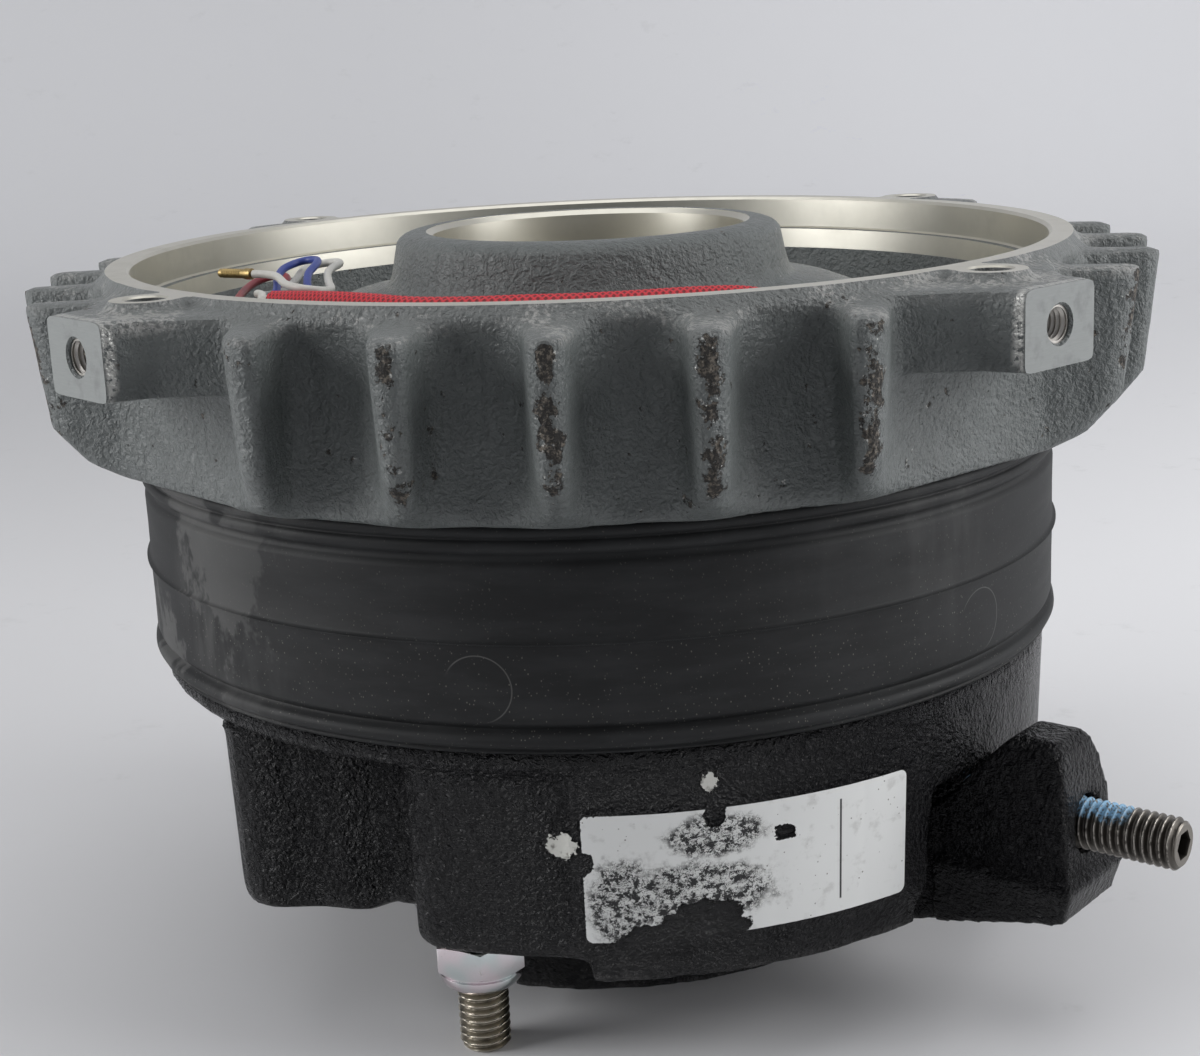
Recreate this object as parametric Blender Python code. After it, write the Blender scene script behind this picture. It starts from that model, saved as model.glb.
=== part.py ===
"""Spring applied brake on its motor endshield, standing on the ends of its three studs.

Lengths are in metres, +Z is up, and the origin is on the brake axis at the level of the
stud tips. Azimuths are in degrees, from -Y (the front) towards +X. Heights are measured
down from the rim plane of the endshield, which is the face that meets the motor.
"""

import math

import bmesh
import bpy
from mathutils import Matrix, Vector

MM = 0.001

# Driving dimensions: the rim bore, the bearing, the stack of the brake and the fasteners
BORE_R = 75.0 * MM
BEARING_R = 26.0 * MM
ENDSHIELD_DEPTH = 29.7 * MM
RUN_GAP = 0.3 * MM
FRICTION_PLATE_T = 1.5 * MM
LINING_T = 3.0 * MM
DISC_T = 5.0 * MM
PRESSURE_PLATE_T = 9.0 * MM
DAMPING_PLATE_T = 1.5 * MM
AIR_GAP = 0.6 * MM
COIL_BODY_H = 39.5 * MM
STUD_END = 20.4 * MM
LEVER_AZ = 54.0

# Endshield: wall, fins, hub and web
RIM_FACE_R = BORE_R + 2.6 * MM
SHOULDER_R = BORE_R + 5.5 * MM
SHOULDER_DROP = 2.3 * MM
WALL_R = BORE_R + 4.2 * MM
WALL_FLARE = 1.1 * MM
WALL_INNER_R = BORE_R - 2.6 * MM
MACHINED_DEPTH = 5.6 * MM
FIN_LENGTH = 17.0 * MM
FIN_TIP_R = BORE_R + FIN_LENGTH
FINS_PER_SIDE = 5
FIN_PITCH = FIN_TIP_R * 1.104 / FINS_PER_SIDE
FIN_TIP_HALF = 2.5 * MM
FIN_ROOT_HALF = 3.2 * MM
FIN_ROOT_FILLET = 4.2 * MM
FIN_TIP_CHAMFER = 1.2 * MM
FIN_TAPER = 2.0 * MM
FIN_TAPER_H = 8.2 * MM
FIN_FOOT_R = FIN_TIP_R - 6.6 * MM
FIN_FOOT_H = 2.6 * MM
HUB_TOP = 2.6 * MM
HUB_R = BEARING_R + 5.6 * MM
HUB_DRAFT = 2.6 * MM
HUB_FOOT_R = HUB_R + HUB_DRAFT
BEARING_DEPTH = 15.0 * MM
BEARING_SHOULDER_R = BEARING_R - 5.0 * MM
BEARING_SHOULDER_H = 6.0 * MM
SHAFT_HOLE_R = BEARING_R - 8.0 * MM
WEB_TOP_IN = 6.6 * MM
WEB_TOP_OUT = ENDSHIELD_DEPTH - 10.7 * MM
WEB_INNER_R = HUB_FOOT_R + 4.0 * MM
WEB_OUTER_R = WALL_INNER_R - 2.5 * MM
SPIGOT_R = BORE_R - 2.3 * MM
SPIGOT_T = 4.0 * MM

# Mounting lugs on the diagonals of the endshield
LUG_FACE = BORE_R + 19.4 * MM
LUG_FACE_W = 14.4 * MM
LUG_ROOT_W = 46.0 * MM
LUG_TOP_DROP = 1.4 * MM
LUG_H = 11.2 * MM
LUG_HOLE_PCD_R = BORE_R + 8.0 * MM
LUG_NOSE = 5.0 * MM
LUG_HOLE_R = 2.9 * MM
LUG_TAP_R = 2.1 * MM
LUG_FLARE = 2.4 * MM
LUG_NECK = 6.0 * MM

# Studs and nuts
STUD_CIRCLE_R = 0.8 * BORE_R
STUD_SPREAD = 70.8
STUD_R = 3.9 * MM
STUD_HOLE_R = STUD_R + 0.6 * MM
STUD_BOSS_R = STUD_R + 3.7 * MM
STUD_THREAD_H = 9.0 * MM
NUT_TURN = 7.0
NUT_ACROSS_FLATS = 13.0 * MM
NUT_H = 8.0 * MM
PRESSURE_RING_R = STUD_R + 3.1 * MM
PRESSURE_RING_T = 1.6 * MM
COUNTER_SPRING_R = STUD_R + 1.8 * MM
COUNTER_SPRING_WIRE = 0.8 * MM
COUNTERBORE_R = COUNTER_SPRING_R + 1.5 * MM
COUNTERBORE_DEPTH = 6.0 * MM

# Release lever, its studs, nuts and springs
YOKE_OUTER_R = STUD_CIRCLE_R - 10.0 * MM
YOKE_W = 0.38 * YOKE_OUTER_R
YOKE_INNER_R = YOKE_OUTER_R - YOKE_W
YOKE_SWEEP = 112.0
YOKE_ARM_T = 5.5 * MM
YOKE_RECESS_R = YOKE_OUTER_R + 1.8 * MM
YOKE_RECESS_H = 8.0 * MM
RIB_SWEEP = 70.0
RIB_W = 0.22 * YOKE_OUTER_R
RIB_INNER_R = YOKE_OUTER_R - RIB_W
NOSE_OFFSET = 0.34 * YOKE_OUTER_R
NOSE_R = 2.0 * MM
NOSE_RISE = 1.1 * MM
BOSS_W = 16.0 * MM
BOSS_END = BORE_R + 17.4 * MM
SCREW_LENGTH = 35.0 * MM
SCREW_TIP = BOSS_END + 14.0 * MM
SCREW_R = 3.9 * MM
SCREW_HOLE_R = SCREW_R + 0.4 * MM
SCREW_TRAVEL = 12.0 * MM
SCREW_SOCKET_R = 2.3 * MM
SCREW_SOCKET_DEPTH = 4.0 * MM
RELEASE_CIRCLE_R = YOKE_OUTER_R - 6.0 * MM
RELEASE_STUD_R = 2.9 * MM
RELEASE_HOLE_R = RELEASE_STUD_R + 0.6 * MM
CONICAL_SPRING_H = 3.0 * MM
CONICAL_SPRING_R = RELEASE_STUD_R + 3.1 * MM
CONICAL_WIRE = 0.6 * MM
SETTING_NUT_AF = 10.0 * MM
SETTING_NUT_H = 6.0 * MM

# Coil body and coil
COIL_BODY_SPIGOT_R = SPIGOT_R
FLANGE_R = BORE_R
FLANGE_T = 3.4 * MM
SHAFT_BORE_R = BEARING_R - 12.0 * MM
COIL_OUTER_R = RELEASE_CIRCLE_R - RELEASE_HOLE_R - 3.5 * MM
COIL_INNER_R = 0.62 * COIL_OUTER_R
COIL_H = 18.0 * MM
COIL_CLEARANCE = 0.5 * MM
BODY_DRAFT = 0.988
LABEL_FOOT_H = 3.0 * MM
LABEL_FOOT_R = FLANGE_R - 1.8 * MM
LABEL_FOOT_SWEEP = 20.4
LABEL_FOOT_TURN = 32.9
ARM_SLOT_W = BOSS_W + 11.2 * MM

# Brake springs
SPRING_CIRCLE_R = STUD_CIRCLE_R - 9.0 * MM
SPRING_ANGLES = (30.0, 105.0, 150.0)
SPRING_R = 3.4 * MM
SPRING_WIRE = 0.7 * MM
SPRING_POCKET_R = SPRING_R + SPRING_WIRE + 0.4 * MM
SPRING_POCKET_DEPTH = 19.0 * MM

# Rotor and armature
DISC_R = STUD_CIRCLE_R - 9.0 * MM
LINING_W = 0.353 * DISC_R
LINING_INNER_R = DISC_R - LINING_W
TEETH = 16
TOOTH_ROOT_R = BEARING_R - 11.0 * MM
TOOTH_H = 2.4 * MM
TOOTH_CLEARANCE = 0.35 * MM
CARRIER_BORE_R = TOOTH_ROOT_R - 5.0 * MM
CARRIER_H = 15.0 * MM
KEYWAY_W = 6.0 * MM
KEYWAY_H = 2.6 * MM
PLATE_INNER_R = TOOTH_ROOT_R + TOOTH_H + 2.6 * MM
PLATE_R = BORE_R - 9.0 * MM
DAMPING_OUTER_R = RELEASE_CIRCLE_R - RELEASE_HOLE_R - 1.5 * MM
DAMPING_INNER_R = 0.52 * DAMPING_OUTER_R
SEAT_R = STUD_CIRCLE_R - 6.5 * MM

# Leads
SLEEVE_D = 4.6 * MM
LEAD_D = 1.3 * MM
LEAD_CIRCLE_R = HUB_FOOT_R + 15.8 * MM
FERRULE_R = 0.8 * MM
FERRULE_L = 6.8 * MM
GROMMET_AZ = 41.0
GROMMET_HOLE_R = SLEEVE_D / 2 + 2.7 * MM
GROMMET_H = 8.0 * MM

# Depths below the rim plane, which follow from the stack
SEAT_DEPTH = ENDSHIELD_DEPTH + 1.3 * MM
SPIGOT_DEPTH = SEAT_DEPTH + 5.0 * MM
UNDERCUT_DEPTH = WEB_TOP_OUT + 7.5 * MM
BOSS_DEPTH = SEAT_DEPTH - RUN_GAP
DISC_TOP = SEAT_DEPTH + RUN_GAP + FRICTION_PLATE_T + RUN_GAP
LINING_2_TOP = DISC_TOP + LINING_T + RUN_GAP + DISC_T + RUN_GAP
PLATE_TOP = LINING_2_TOP + LINING_T + RUN_GAP
DAMPING_TOP = PLATE_TOP + PRESSURE_PLATE_T + RUN_GAP
COIL_FACE = DAMPING_TOP + DAMPING_PLATE_T + AIR_GAP
BODY_BOTTOM = COIL_FACE + COIL_BODY_H
RIM_HEIGHT = BODY_BOTTOM + STUD_END
COLLAR_DEPTH = COIL_FACE + 6.4 * MM
FLANGE_TOP = COLLAR_DEPTH + RUN_GAP
STUD_TOP_DEPTH = BOSS_DEPTH - STUD_THREAD_H + 0.3 * MM
ARM_SLOT_TOP = BODY_BOTTOM - 17.9 * MM
RECESS_FLOOR = BODY_BOTTOM - YOKE_RECESS_H
YOKE_TOP = RECESS_FLOOR + RUN_GAP + NOSE_RISE
PIVOT_DEPTH = YOKE_TOP - NOSE_RISE + NOSE_R
ARM_BOTTOM = YOKE_TOP + YOKE_ARM_T
RIB_DEPTH = ARM_BOTTOM + 17.2 * MM
SCREW_DEPTH = YOKE_TOP - 5.8 * MM
BOSS_TOP = SCREW_DEPTH - 13.5 * MM
BOSS_PARTING = SCREW_DEPTH + 8.3 * MM
BOSS_BOTTOM = SCREW_DEPTH + 13.5 * MM
RING_TOP = BODY_BOTTOM + RUN_GAP
NUT_TOP = RING_TOP + PRESSURE_RING_T + RUN_GAP
SETTING_SPRING_TOP = ARM_BOTTOM + RUN_GAP
SETTING_NUT_TOP = SETTING_SPRING_TOP + CONICAL_SPRING_H + RUN_GAP
STUD_AZIMUTHS = (LEVER_AZ - STUD_SPREAD, LEVER_AZ + STUD_SPREAD, LEVER_AZ + 180.0)
RELEASE_AZIMUTHS = (LEVER_AZ - 90.0, LEVER_AZ + 90.0)
BRAKE_SPRING_AZIMUTHS = [LEVER_AZ + side * angle for angle in SPRING_ANGLES for side in (-1, 1)]
LUG_AZIMUTHS = (-45.0, 45.0, 135.0, 225.0)

# Rubber sealing collar
COLLAR_R = BORE_R + 1.0 * MM
COLLAR_BEAD = 0.4 * MM
COLLAR_GROOVE = 0.9 * MM
COLLAR_SEAM = 0.7 * MM
COLLAR_SEAM_DEPTH = (ENDSHIELD_DEPTH + COLLAR_DEPTH) / 2 + 0.55 * MM

# Half outline of the coil body: angle from the lever plane, inset from the flange in mm
BODY_HALF_OUTLINE = (
    (0.0, 0.2), (10.5, 0.2), (21.0, 0.3), (32.0, 0.4), (43.0, 0.4), (54.5, 0.6),
    (56.5, 1.5), (64.0, 1.5), (72.0, 1.7), (74.5, 3.0), (76.0, 6.0), (78.5, 12.2),
    (80.5, 14.0), (84.0, 13.2), (88.5, 11.0), (91.5, 8.2), (95.0, 5.7), (98.5, 5.0),
    (110.0, 6.4), (125.0, 7.6), (140.0, 7.8), (155.0, 6.4), (168.0, 4.4), (180.0, 4.0),
)


def height(depth):
    """Height above the stud tips of a place that lies this far below the rim plane."""
    return RIM_HEIGHT - depth


def polar(radius, azimuth, depth=0.0):
    angle = math.radians(azimuth)
    return Vector((radius * math.sin(angle), -radius * math.cos(angle), height(depth)))


def circle(radius, depth, count, start=0.0):
    return [polar(radius, start + 360.0 * i / count, depth) for i in range(count)]


def material(name, color, roughness, metallic=0.0):
    made = bpy.data.materials.new(name)
    made.use_nodes = True
    shader = made.node_tree.nodes["Principled BSDF"]
    shader.inputs["Base Color"].default_value = (*color, 1.0)
    shader.inputs["Roughness"].default_value = roughness
    shader.inputs["Metallic"].default_value = metallic
    made.diffuse_color = (*color, 1.0)
    return made


def ring_loft(loops):
    """Closed ring through loops of equal count, the last one joined to the first."""
    bm = bmesh.new()
    rows = [[bm.verts.new(point) for point in loop] for loop in loops]
    for row, following in zip(rows, rows[1:] + rows[:1]):
        for i in range(len(row)):
            j = (i + 1) % len(row)
            bm.faces.new((row[i], row[j], following[j], following[i]))
    bmesh.ops.recalc_face_normals(bm, faces=bm.faces)
    return bm


def loft(loops):
    """Closed solid through loops of equal count, capped at both ends."""
    bm = bmesh.new()
    rows = [[bm.verts.new(point) for point in loop] for loop in loops]
    for row, following in zip(rows, rows[1:]):
        for i in range(len(row)):
            j = (i + 1) % len(row)
            bm.faces.new((row[i], row[j], following[j], following[i]))
    bm.faces.new(rows[0])
    bm.faces.new(rows[-1])
    bmesh.ops.recalc_face_normals(bm, faces=bm.faces)
    return bm


def lathe(profile, steps=48):
    """Full turn of a closed profile of (radius, depth) about the brake axis."""
    bm = bmesh.new()
    verts = [bm.verts.new((radius, 0.0, height(depth))) for radius, depth in profile]
    for i, vert in enumerate(verts):
        bm.edges.new((vert, verts[(i + 1) % len(verts)]))
    bmesh.ops.spin(
        bm, geom=bm.verts[:] + bm.edges[:], cent=(0, 0, 0), axis=(0, 0, 1),
        angle=math.tau, steps=steps, use_merge=True,
    )
    bmesh.ops.remove_doubles(bm, verts=bm.verts, dist=1e-7)
    bmesh.ops.recalc_face_normals(bm, faces=bm.faces)
    return bm


def cylinder(radius, top, bottom, centre=(0.0, 0.0), count=20, top_radius=None):
    """Upright cylinder or cone between two depths."""
    bm = bmesh.new()
    bmesh.ops.create_cone(
        bm, cap_ends=True, segments=count, radius1=radius,
        radius2=radius if top_radius is None else top_radius, depth=bottom - top,
    )
    middle = Vector((centre[0], centre[1], height((top + bottom) / 2)))
    bmesh.ops.translate(bm, verts=bm.verts, vec=middle)
    return bm


def cylinder_at(radius, top, bottom, circle_r, azimuth, count=20, top_radius=None):
    return cylinder(radius, top, bottom, polar(circle_r, azimuth).xy, count, top_radius)


def radial_cylinder(radius, start, end, azimuth, depth, count=16):
    """Cylinder along a horizontal radius of the brake."""
    bm = bmesh.new()
    bmesh.ops.create_cone(
        bm, cap_ends=True, segments=count, radius1=radius, radius2=radius, depth=end - start,
    )
    bmesh.ops.rotate(bm, verts=bm.verts, matrix=Matrix.Rotation(math.radians(90), 3, "Y"))
    bmesh.ops.translate(bm, verts=bm.verts, vec=((start + end) / 2, 0, height(depth)))
    return turned(bm, azimuth)


def turned(bm, azimuth):
    """Turns a shape that was modelled along +X to an azimuth."""
    turn = Matrix.Rotation(math.radians(azimuth - 90.0), 3, "Z")
    bmesh.ops.rotate(bm, verts=bm.verts, matrix=turn)
    return bm


def prism(outline, top, bottom):
    """Upright prism of an (x, y) outline between two depths, made by extrusion."""
    bm = bmesh.new()
    base = bm.faces.new([bm.verts.new((x, y, height(bottom))) for x, y in outline])
    lifted = bmesh.ops.extrude_face_region(bm, geom=[base])
    verts = [item for item in lifted["geom"] if isinstance(item, bmesh.types.BMVert)]
    bmesh.ops.translate(bm, verts=verts, vec=(0, 0, bottom - top))
    bmesh.ops.recalc_face_normals(bm, faces=bm.faces)
    return bm


def sector(inner, outer, sweep, top, bottom, steps):
    """Ring sector on both sides of +X, with square ends."""
    angles = [math.radians(-sweep + 2 * sweep * i / steps) for i in range(steps + 1)]
    outline = [(outer * math.cos(a), outer * math.sin(a)) for a in angles]
    outline += [(inner * math.cos(a), inner * math.sin(a)) for a in reversed(angles)]
    return prism(outline, top, bottom)


def joined(*shapes):
    """One mesh that holds several closed shapes which do not meet."""
    whole = bmesh.new()
    for bm in shapes:
        mesh = bpy.data.meshes.new("joined")
        bm.to_mesh(mesh)
        bm.free()
        whole.from_mesh(mesh)
        bpy.data.meshes.remove(mesh)
    return whole


def add_object(name, bm, finish, origin=(0.0, 0.0, 0.0), smooth_angle=35.0):
    mesh = bpy.data.meshes.new(name)
    bmesh.ops.translate(bm, verts=bm.verts, vec=-Vector(origin))
    bm.to_mesh(mesh)
    bm.free()
    mesh.shade_smooth()
    mesh.set_sharp_from_angle(angle=math.radians(smooth_angle))
    made = bpy.data.objects.new(name, mesh)
    made.location = origin
    if finish:
        mesh.materials.append(finish)
    bpy.context.scene.collection.objects.link(made)
    return made


def boolean(target, operation, bm, name):
    """Adds a shape to an object, or cuts it away, with a Boolean modifier."""
    tool = add_object(name, bm, None)
    tool.hide_render = True
    tool.display_type = "WIRE"
    modifier = target.modifiers.new(name, "BOOLEAN")
    modifier.operation = operation
    modifier.solver = "EXACT"
    modifier.object = tool
    return tool


def wire_coil(name, rows, wire_r, finish, centre, turns, steps=8):
    """Round wire wound through (radius, depth) at its start and its end."""
    (start_r, start_depth), (end_r, end_depth) = rows
    count = round(turns * steps)
    points = []
    for i in range(count + 1):
        share = i / count
        angle = math.tau * turns * share
        radius = start_r + (end_r - start_r) * share
        depth = start_depth + (end_depth - start_depth) * share
        points.append(Vector((
            centre[0] + radius * math.cos(angle), centre[1] + radius * math.sin(angle),
            height(depth),
        )))
    return add_tube(name, points, wire_r, finish, resolution=0)


def add_tube(name, points, radius, finish, resolution=2):
    curve = bpy.data.curves.new(name, "CURVE")
    curve.dimensions = "3D"
    spline = curve.splines.new("POLY")
    spline.points.add(len(points) - 1)
    for slot, point in zip(spline.points, points):
        slot.co = (*point, 1.0)
    curve.bevel_depth = radius
    curve.bevel_resolution = resolution
    curve.use_fill_caps = True
    curve.materials.append(finish)
    made = bpy.data.objects.new(name, curve)
    bpy.context.scene.collection.objects.link(made)
    return made


def smooth_route(points, steps):
    """Points read from a smooth curve through a route's own points."""
    route = [Vector(p) for p in points]
    route = [2 * route[0] - route[1]] + route + [2 * route[-1] - route[-2]]
    smooth = []
    for a, b, c, d in zip(route, route[1:], route[2:], route[3:]):
        for i in range(steps):
            t = i / steps
            smooth.append(0.5 * (
                2 * b + (c - a) * t + (2 * a - 5 * b + 4 * c - d) * t ** 2
                + (3 * b - a - 3 * c + d) * t ** 3
            ))
    smooth.append(route[-2])
    return smooth


def endshield_outline(wall_r, tip_r, depth):
    """Plan of the outer wall with five parallel fins on each of its four sides."""
    points = []
    half = (FINS_PER_SIDE - 1) / 2
    for side in range(4):
        turn = Matrix.Rotation(math.radians(90.0 * side), 3, "Z")
        for fin in range(FINS_PER_SIDE):
            place = (fin - half) * FIN_PITCH
            wall = math.sqrt(wall_r ** 2 - place ** 2)
            profile = (
                (FIN_ROOT_HALF + FIN_ROOT_FILLET, 0.0),
                (FIN_ROOT_HALF + 0.15 * FIN_ROOT_FILLET, 0.5 * FIN_ROOT_FILLET),
                (FIN_TIP_HALF, None),
                (0.45 * FIN_TIP_HALF, None),
            )
            sides = [(-across, out) for across, out in profile]
            sides += [(across, out) for across, out in reversed(profile)]
            for across, out in sides:
                lateral = place + across
                tip = math.sqrt(tip_r ** 2 - lateral ** 2)
                if out is None:
                    corner = abs(across) > 0.5 * FIN_TIP_HALF
                    reach = tip - (FIN_TIP_CHAMFER if corner and tip_r > wall_r else 0.0)
                elif out == 0.0:
                    reach = math.sqrt(wall_r ** 2 - lateral ** 2)
                else:
                    reach = wall + out - 0.5 * (lateral ** 2 - place ** 2) / wall_r
                point = turn @ Vector((lateral, -min(reach, tip), 0.0))
                point.z = height(depth)
                points.append(point)
    return points


def bowl_cutter():
    """Everything above and inside the bowl: rim face, machined band, wall, web and hub."""
    above = -HUB_TOP - 4.0 * MM
    outside = LUG_FACE + 16.0 * MM
    return lathe([
        (HUB_R - 2.2 * MM, above), (outside, above), (outside, 0.0),
        (BORE_R + 0.5 * MM, 0.0), (BORE_R, 0.5 * MM), (BORE_R, MACHINED_DEPTH),
        (WALL_INNER_R + 1.0 * MM, MACHINED_DEPTH + 1.6 * MM),
        (WALL_INNER_R, WEB_TOP_OUT - 3.0 * MM), (WEB_OUTER_R, WEB_TOP_OUT),
        (WEB_INNER_R, WEB_TOP_IN),
        (HUB_FOOT_R + 1.0 * MM, WEB_TOP_IN - 1.8 * MM),
        (HUB_R, 0.8 * MM - HUB_TOP), (HUB_R - 2.2 * MM, -HUB_TOP),
    ])


def make_endshield(finish):
    slope = (SHOULDER_R - RIM_FACE_R) / SHOULDER_DROP
    crown_r = RIM_FACE_R - slope * HUB_TOP
    fin_levels = (
        (ENDSHIELD_DEPTH, WALL_R + WALL_FLARE, WALL_R + WALL_FLARE),
        (ENDSHIELD_DEPTH - FIN_FOOT_H, WALL_R + 0.5 * WALL_FLARE, FIN_FOOT_R),
        (ENDSHIELD_DEPTH - FIN_TAPER_H, WALL_R, FIN_TIP_R - FIN_TAPER),
        (SHOULDER_DROP + 0.1 * MM, WALL_R, FIN_TIP_R),
        (SHOULDER_DROP, SHOULDER_R, SHOULDER_R),
        (-HUB_TOP, crown_r, crown_r),
    )
    levels = [endshield_outline(wall, tip, depth) for depth, wall, tip in fin_levels]
    shield = add_object("endshield", loft(levels), finish)

    lugs = []
    for azimuth in LUG_AZIMUTHS:
        root = WALL_INNER_R + 2.0 * MM
        outline = [
            (root, -LUG_ROOT_W / 2), (LUG_FACE - LUG_NECK, -LUG_FACE_W / 2 - LUG_FLARE),
            (LUG_FACE, -LUG_FACE_W / 2), (LUG_FACE, LUG_FACE_W / 2),
            (LUG_FACE - LUG_NECK, LUG_FACE_W / 2 + LUG_FLARE), (root, LUG_ROOT_W / 2),
        ]
        lugs.append(turned(prism(outline, LUG_TOP_DROP, LUG_TOP_DROP + LUG_H), azimuth))
    boolean(shield, "UNION", joined(*lugs), "lug_blocks")
    noses = []
    for azimuth in LUG_AZIMUTHS:
        nose = cylinder_at(LUG_NOSE, -1.0 * MM, LUG_TOP_DROP + 2.0 * MM, LUG_HOLE_PCD_R, azimuth, 16)
        noses.append(nose)
    boolean(shield, "UNION", joined(*noses), "lug_noses")

    spigot = lathe([
        (SHAFT_HOLE_R - 4.0 * MM, SPIGOT_DEPTH), (SHAFT_HOLE_R - 4.0 * MM, WEB_TOP_OUT),
        (SPIGOT_R, WEB_TOP_OUT), (SPIGOT_R, SPIGOT_DEPTH - 0.6 * MM),
        (SPIGOT_R - 0.6 * MM, SPIGOT_DEPTH),
    ])
    boolean(shield, "UNION", spigot, "spigot_ring")

    bearing_seat = lathe([
        (0.0, -HUB_TOP - 2.0 * MM), (BEARING_R + 0.8 * MM, -HUB_TOP - 2.0 * MM),
        (BEARING_R + 0.8 * MM, -HUB_TOP), (BEARING_R, 0.8 * MM - HUB_TOP),
        (BEARING_R, BEARING_DEPTH), (BEARING_SHOULDER_R, BEARING_DEPTH),
        (BEARING_SHOULDER_R, BEARING_DEPTH + BEARING_SHOULDER_H),
        (SHAFT_HOLE_R, BEARING_DEPTH + BEARING_SHOULDER_H),
        (SHAFT_HOLE_R, SPIGOT_DEPTH + 2.0 * MM), (0.0, SPIGOT_DEPTH + 2.0 * MM),
    ], 32)
    boolean(shield, "DIFFERENCE", bowl_cutter(), "bowl_space")
    boolean(shield, "DIFFERENCE", bearing_seat, "bearing_seat")

    underside = lathe([
        (SHAFT_HOLE_R - 8.0 * MM, SPIGOT_DEPTH + 2.0 * MM),
        (SHAFT_HOLE_R - 8.0 * MM, SEAT_DEPTH), (SEAT_R, SEAT_DEPTH), (SEAT_R, UNDERCUT_DEPTH),
        (SPIGOT_R - SPIGOT_T - 0.5 * MM, UNDERCUT_DEPTH),
        (SPIGOT_R - SPIGOT_T, SPIGOT_DEPTH + 2.0 * MM),
    ])
    groove = boolean(shield, "DIFFERENCE", underside, "underside_groove")
    bosses = [
        cylinder_at(STUD_BOSS_R, UNDERCUT_DEPTH - 2.0 * MM, BOSS_DEPTH, STUD_CIRCLE_R, azimuth, 12)
        for azimuth in STUD_AZIMUTHS
    ]
    boolean(groove, "DIFFERENCE", joined(*bosses), "stud_bosses")

    holes = [
        cylinder_at(
            STUD_R + RUN_GAP, STUD_TOP_DEPTH - RUN_GAP, SPIGOT_DEPTH + 2.0 * MM,
            STUD_CIRCLE_R, azimuth, 12,
        )
        for azimuth in STUD_AZIMUTHS
    ]
    for azimuth in LUG_AZIMUTHS:
        holes.append(cylinder_at(
            LUG_HOLE_R, -2.0 * MM, LUG_H + 6.0 * MM, LUG_HOLE_PCD_R, azimuth, 12,
        ))
        holes.append(radial_cylinder(
            LUG_TAP_R, LUG_HOLE_PCD_R + LUG_HOLE_R + 0.8 * MM, LUG_FACE + 2.0 * MM, azimuth,
            LUG_TOP_DROP + LUG_H / 2 - 0.2 * MM, 10,
        ))
    holes.append(cylinder_at(
        GROMMET_HOLE_R, 0.0, SPIGOT_DEPTH, LEAD_CIRCLE_R, GROMMET_AZ, 12,
    ))
    boolean(shield, "DIFFERENCE", joined(*holes), "drilled_holes")
    return shield


def make_collar(finish):
    inner = SPIGOT_R + RUN_GAP
    top = ENDSHIELD_DEPTH + RUN_GAP
    bead = COLLAR_R + COLLAR_BEAD
    groove = COLLAR_R - COLLAR_GROOVE
    seam = COLLAR_SEAM_DEPTH
    profile = [
        (inner, top), (COLLAR_R - 0.4 * MM, top), (bead, top + 0.6 * MM),
        (bead, top + 2.8 * MM), (groove, top + 3.8 * MM),
        (COLLAR_R, top + 5.2 * MM), (COLLAR_R, seam - 0.8 * MM),
        (COLLAR_R + COLLAR_SEAM, seam), (COLLAR_R, seam + 0.8 * MM),
        (COLLAR_R, COLLAR_DEPTH - 4.6 * MM), (groove, COLLAR_DEPTH - 3.8 * MM),
        (bead, COLLAR_DEPTH - 2.6 * MM), (bead, COLLAR_DEPTH - 0.6 * MM),
        (COLLAR_R - 0.6 * MM, COLLAR_DEPTH),
        (inner, COLLAR_DEPTH),
    ]
    return add_object("sealing_collar", lathe(profile), finish)


def body_outline(depth, share):
    """Plan of the coil body, mirrored about the plane of the release lever."""
    turns = BODY_HALF_OUTLINE[1:] + tuple((-a, inset) for a, inset in BODY_HALF_OUTLINE[-2::-1])
    return [
        polar((FLANGE_R - inset * MM) * share, LEVER_AZ + turn, depth) for turn, inset in turns
    ]


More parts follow.
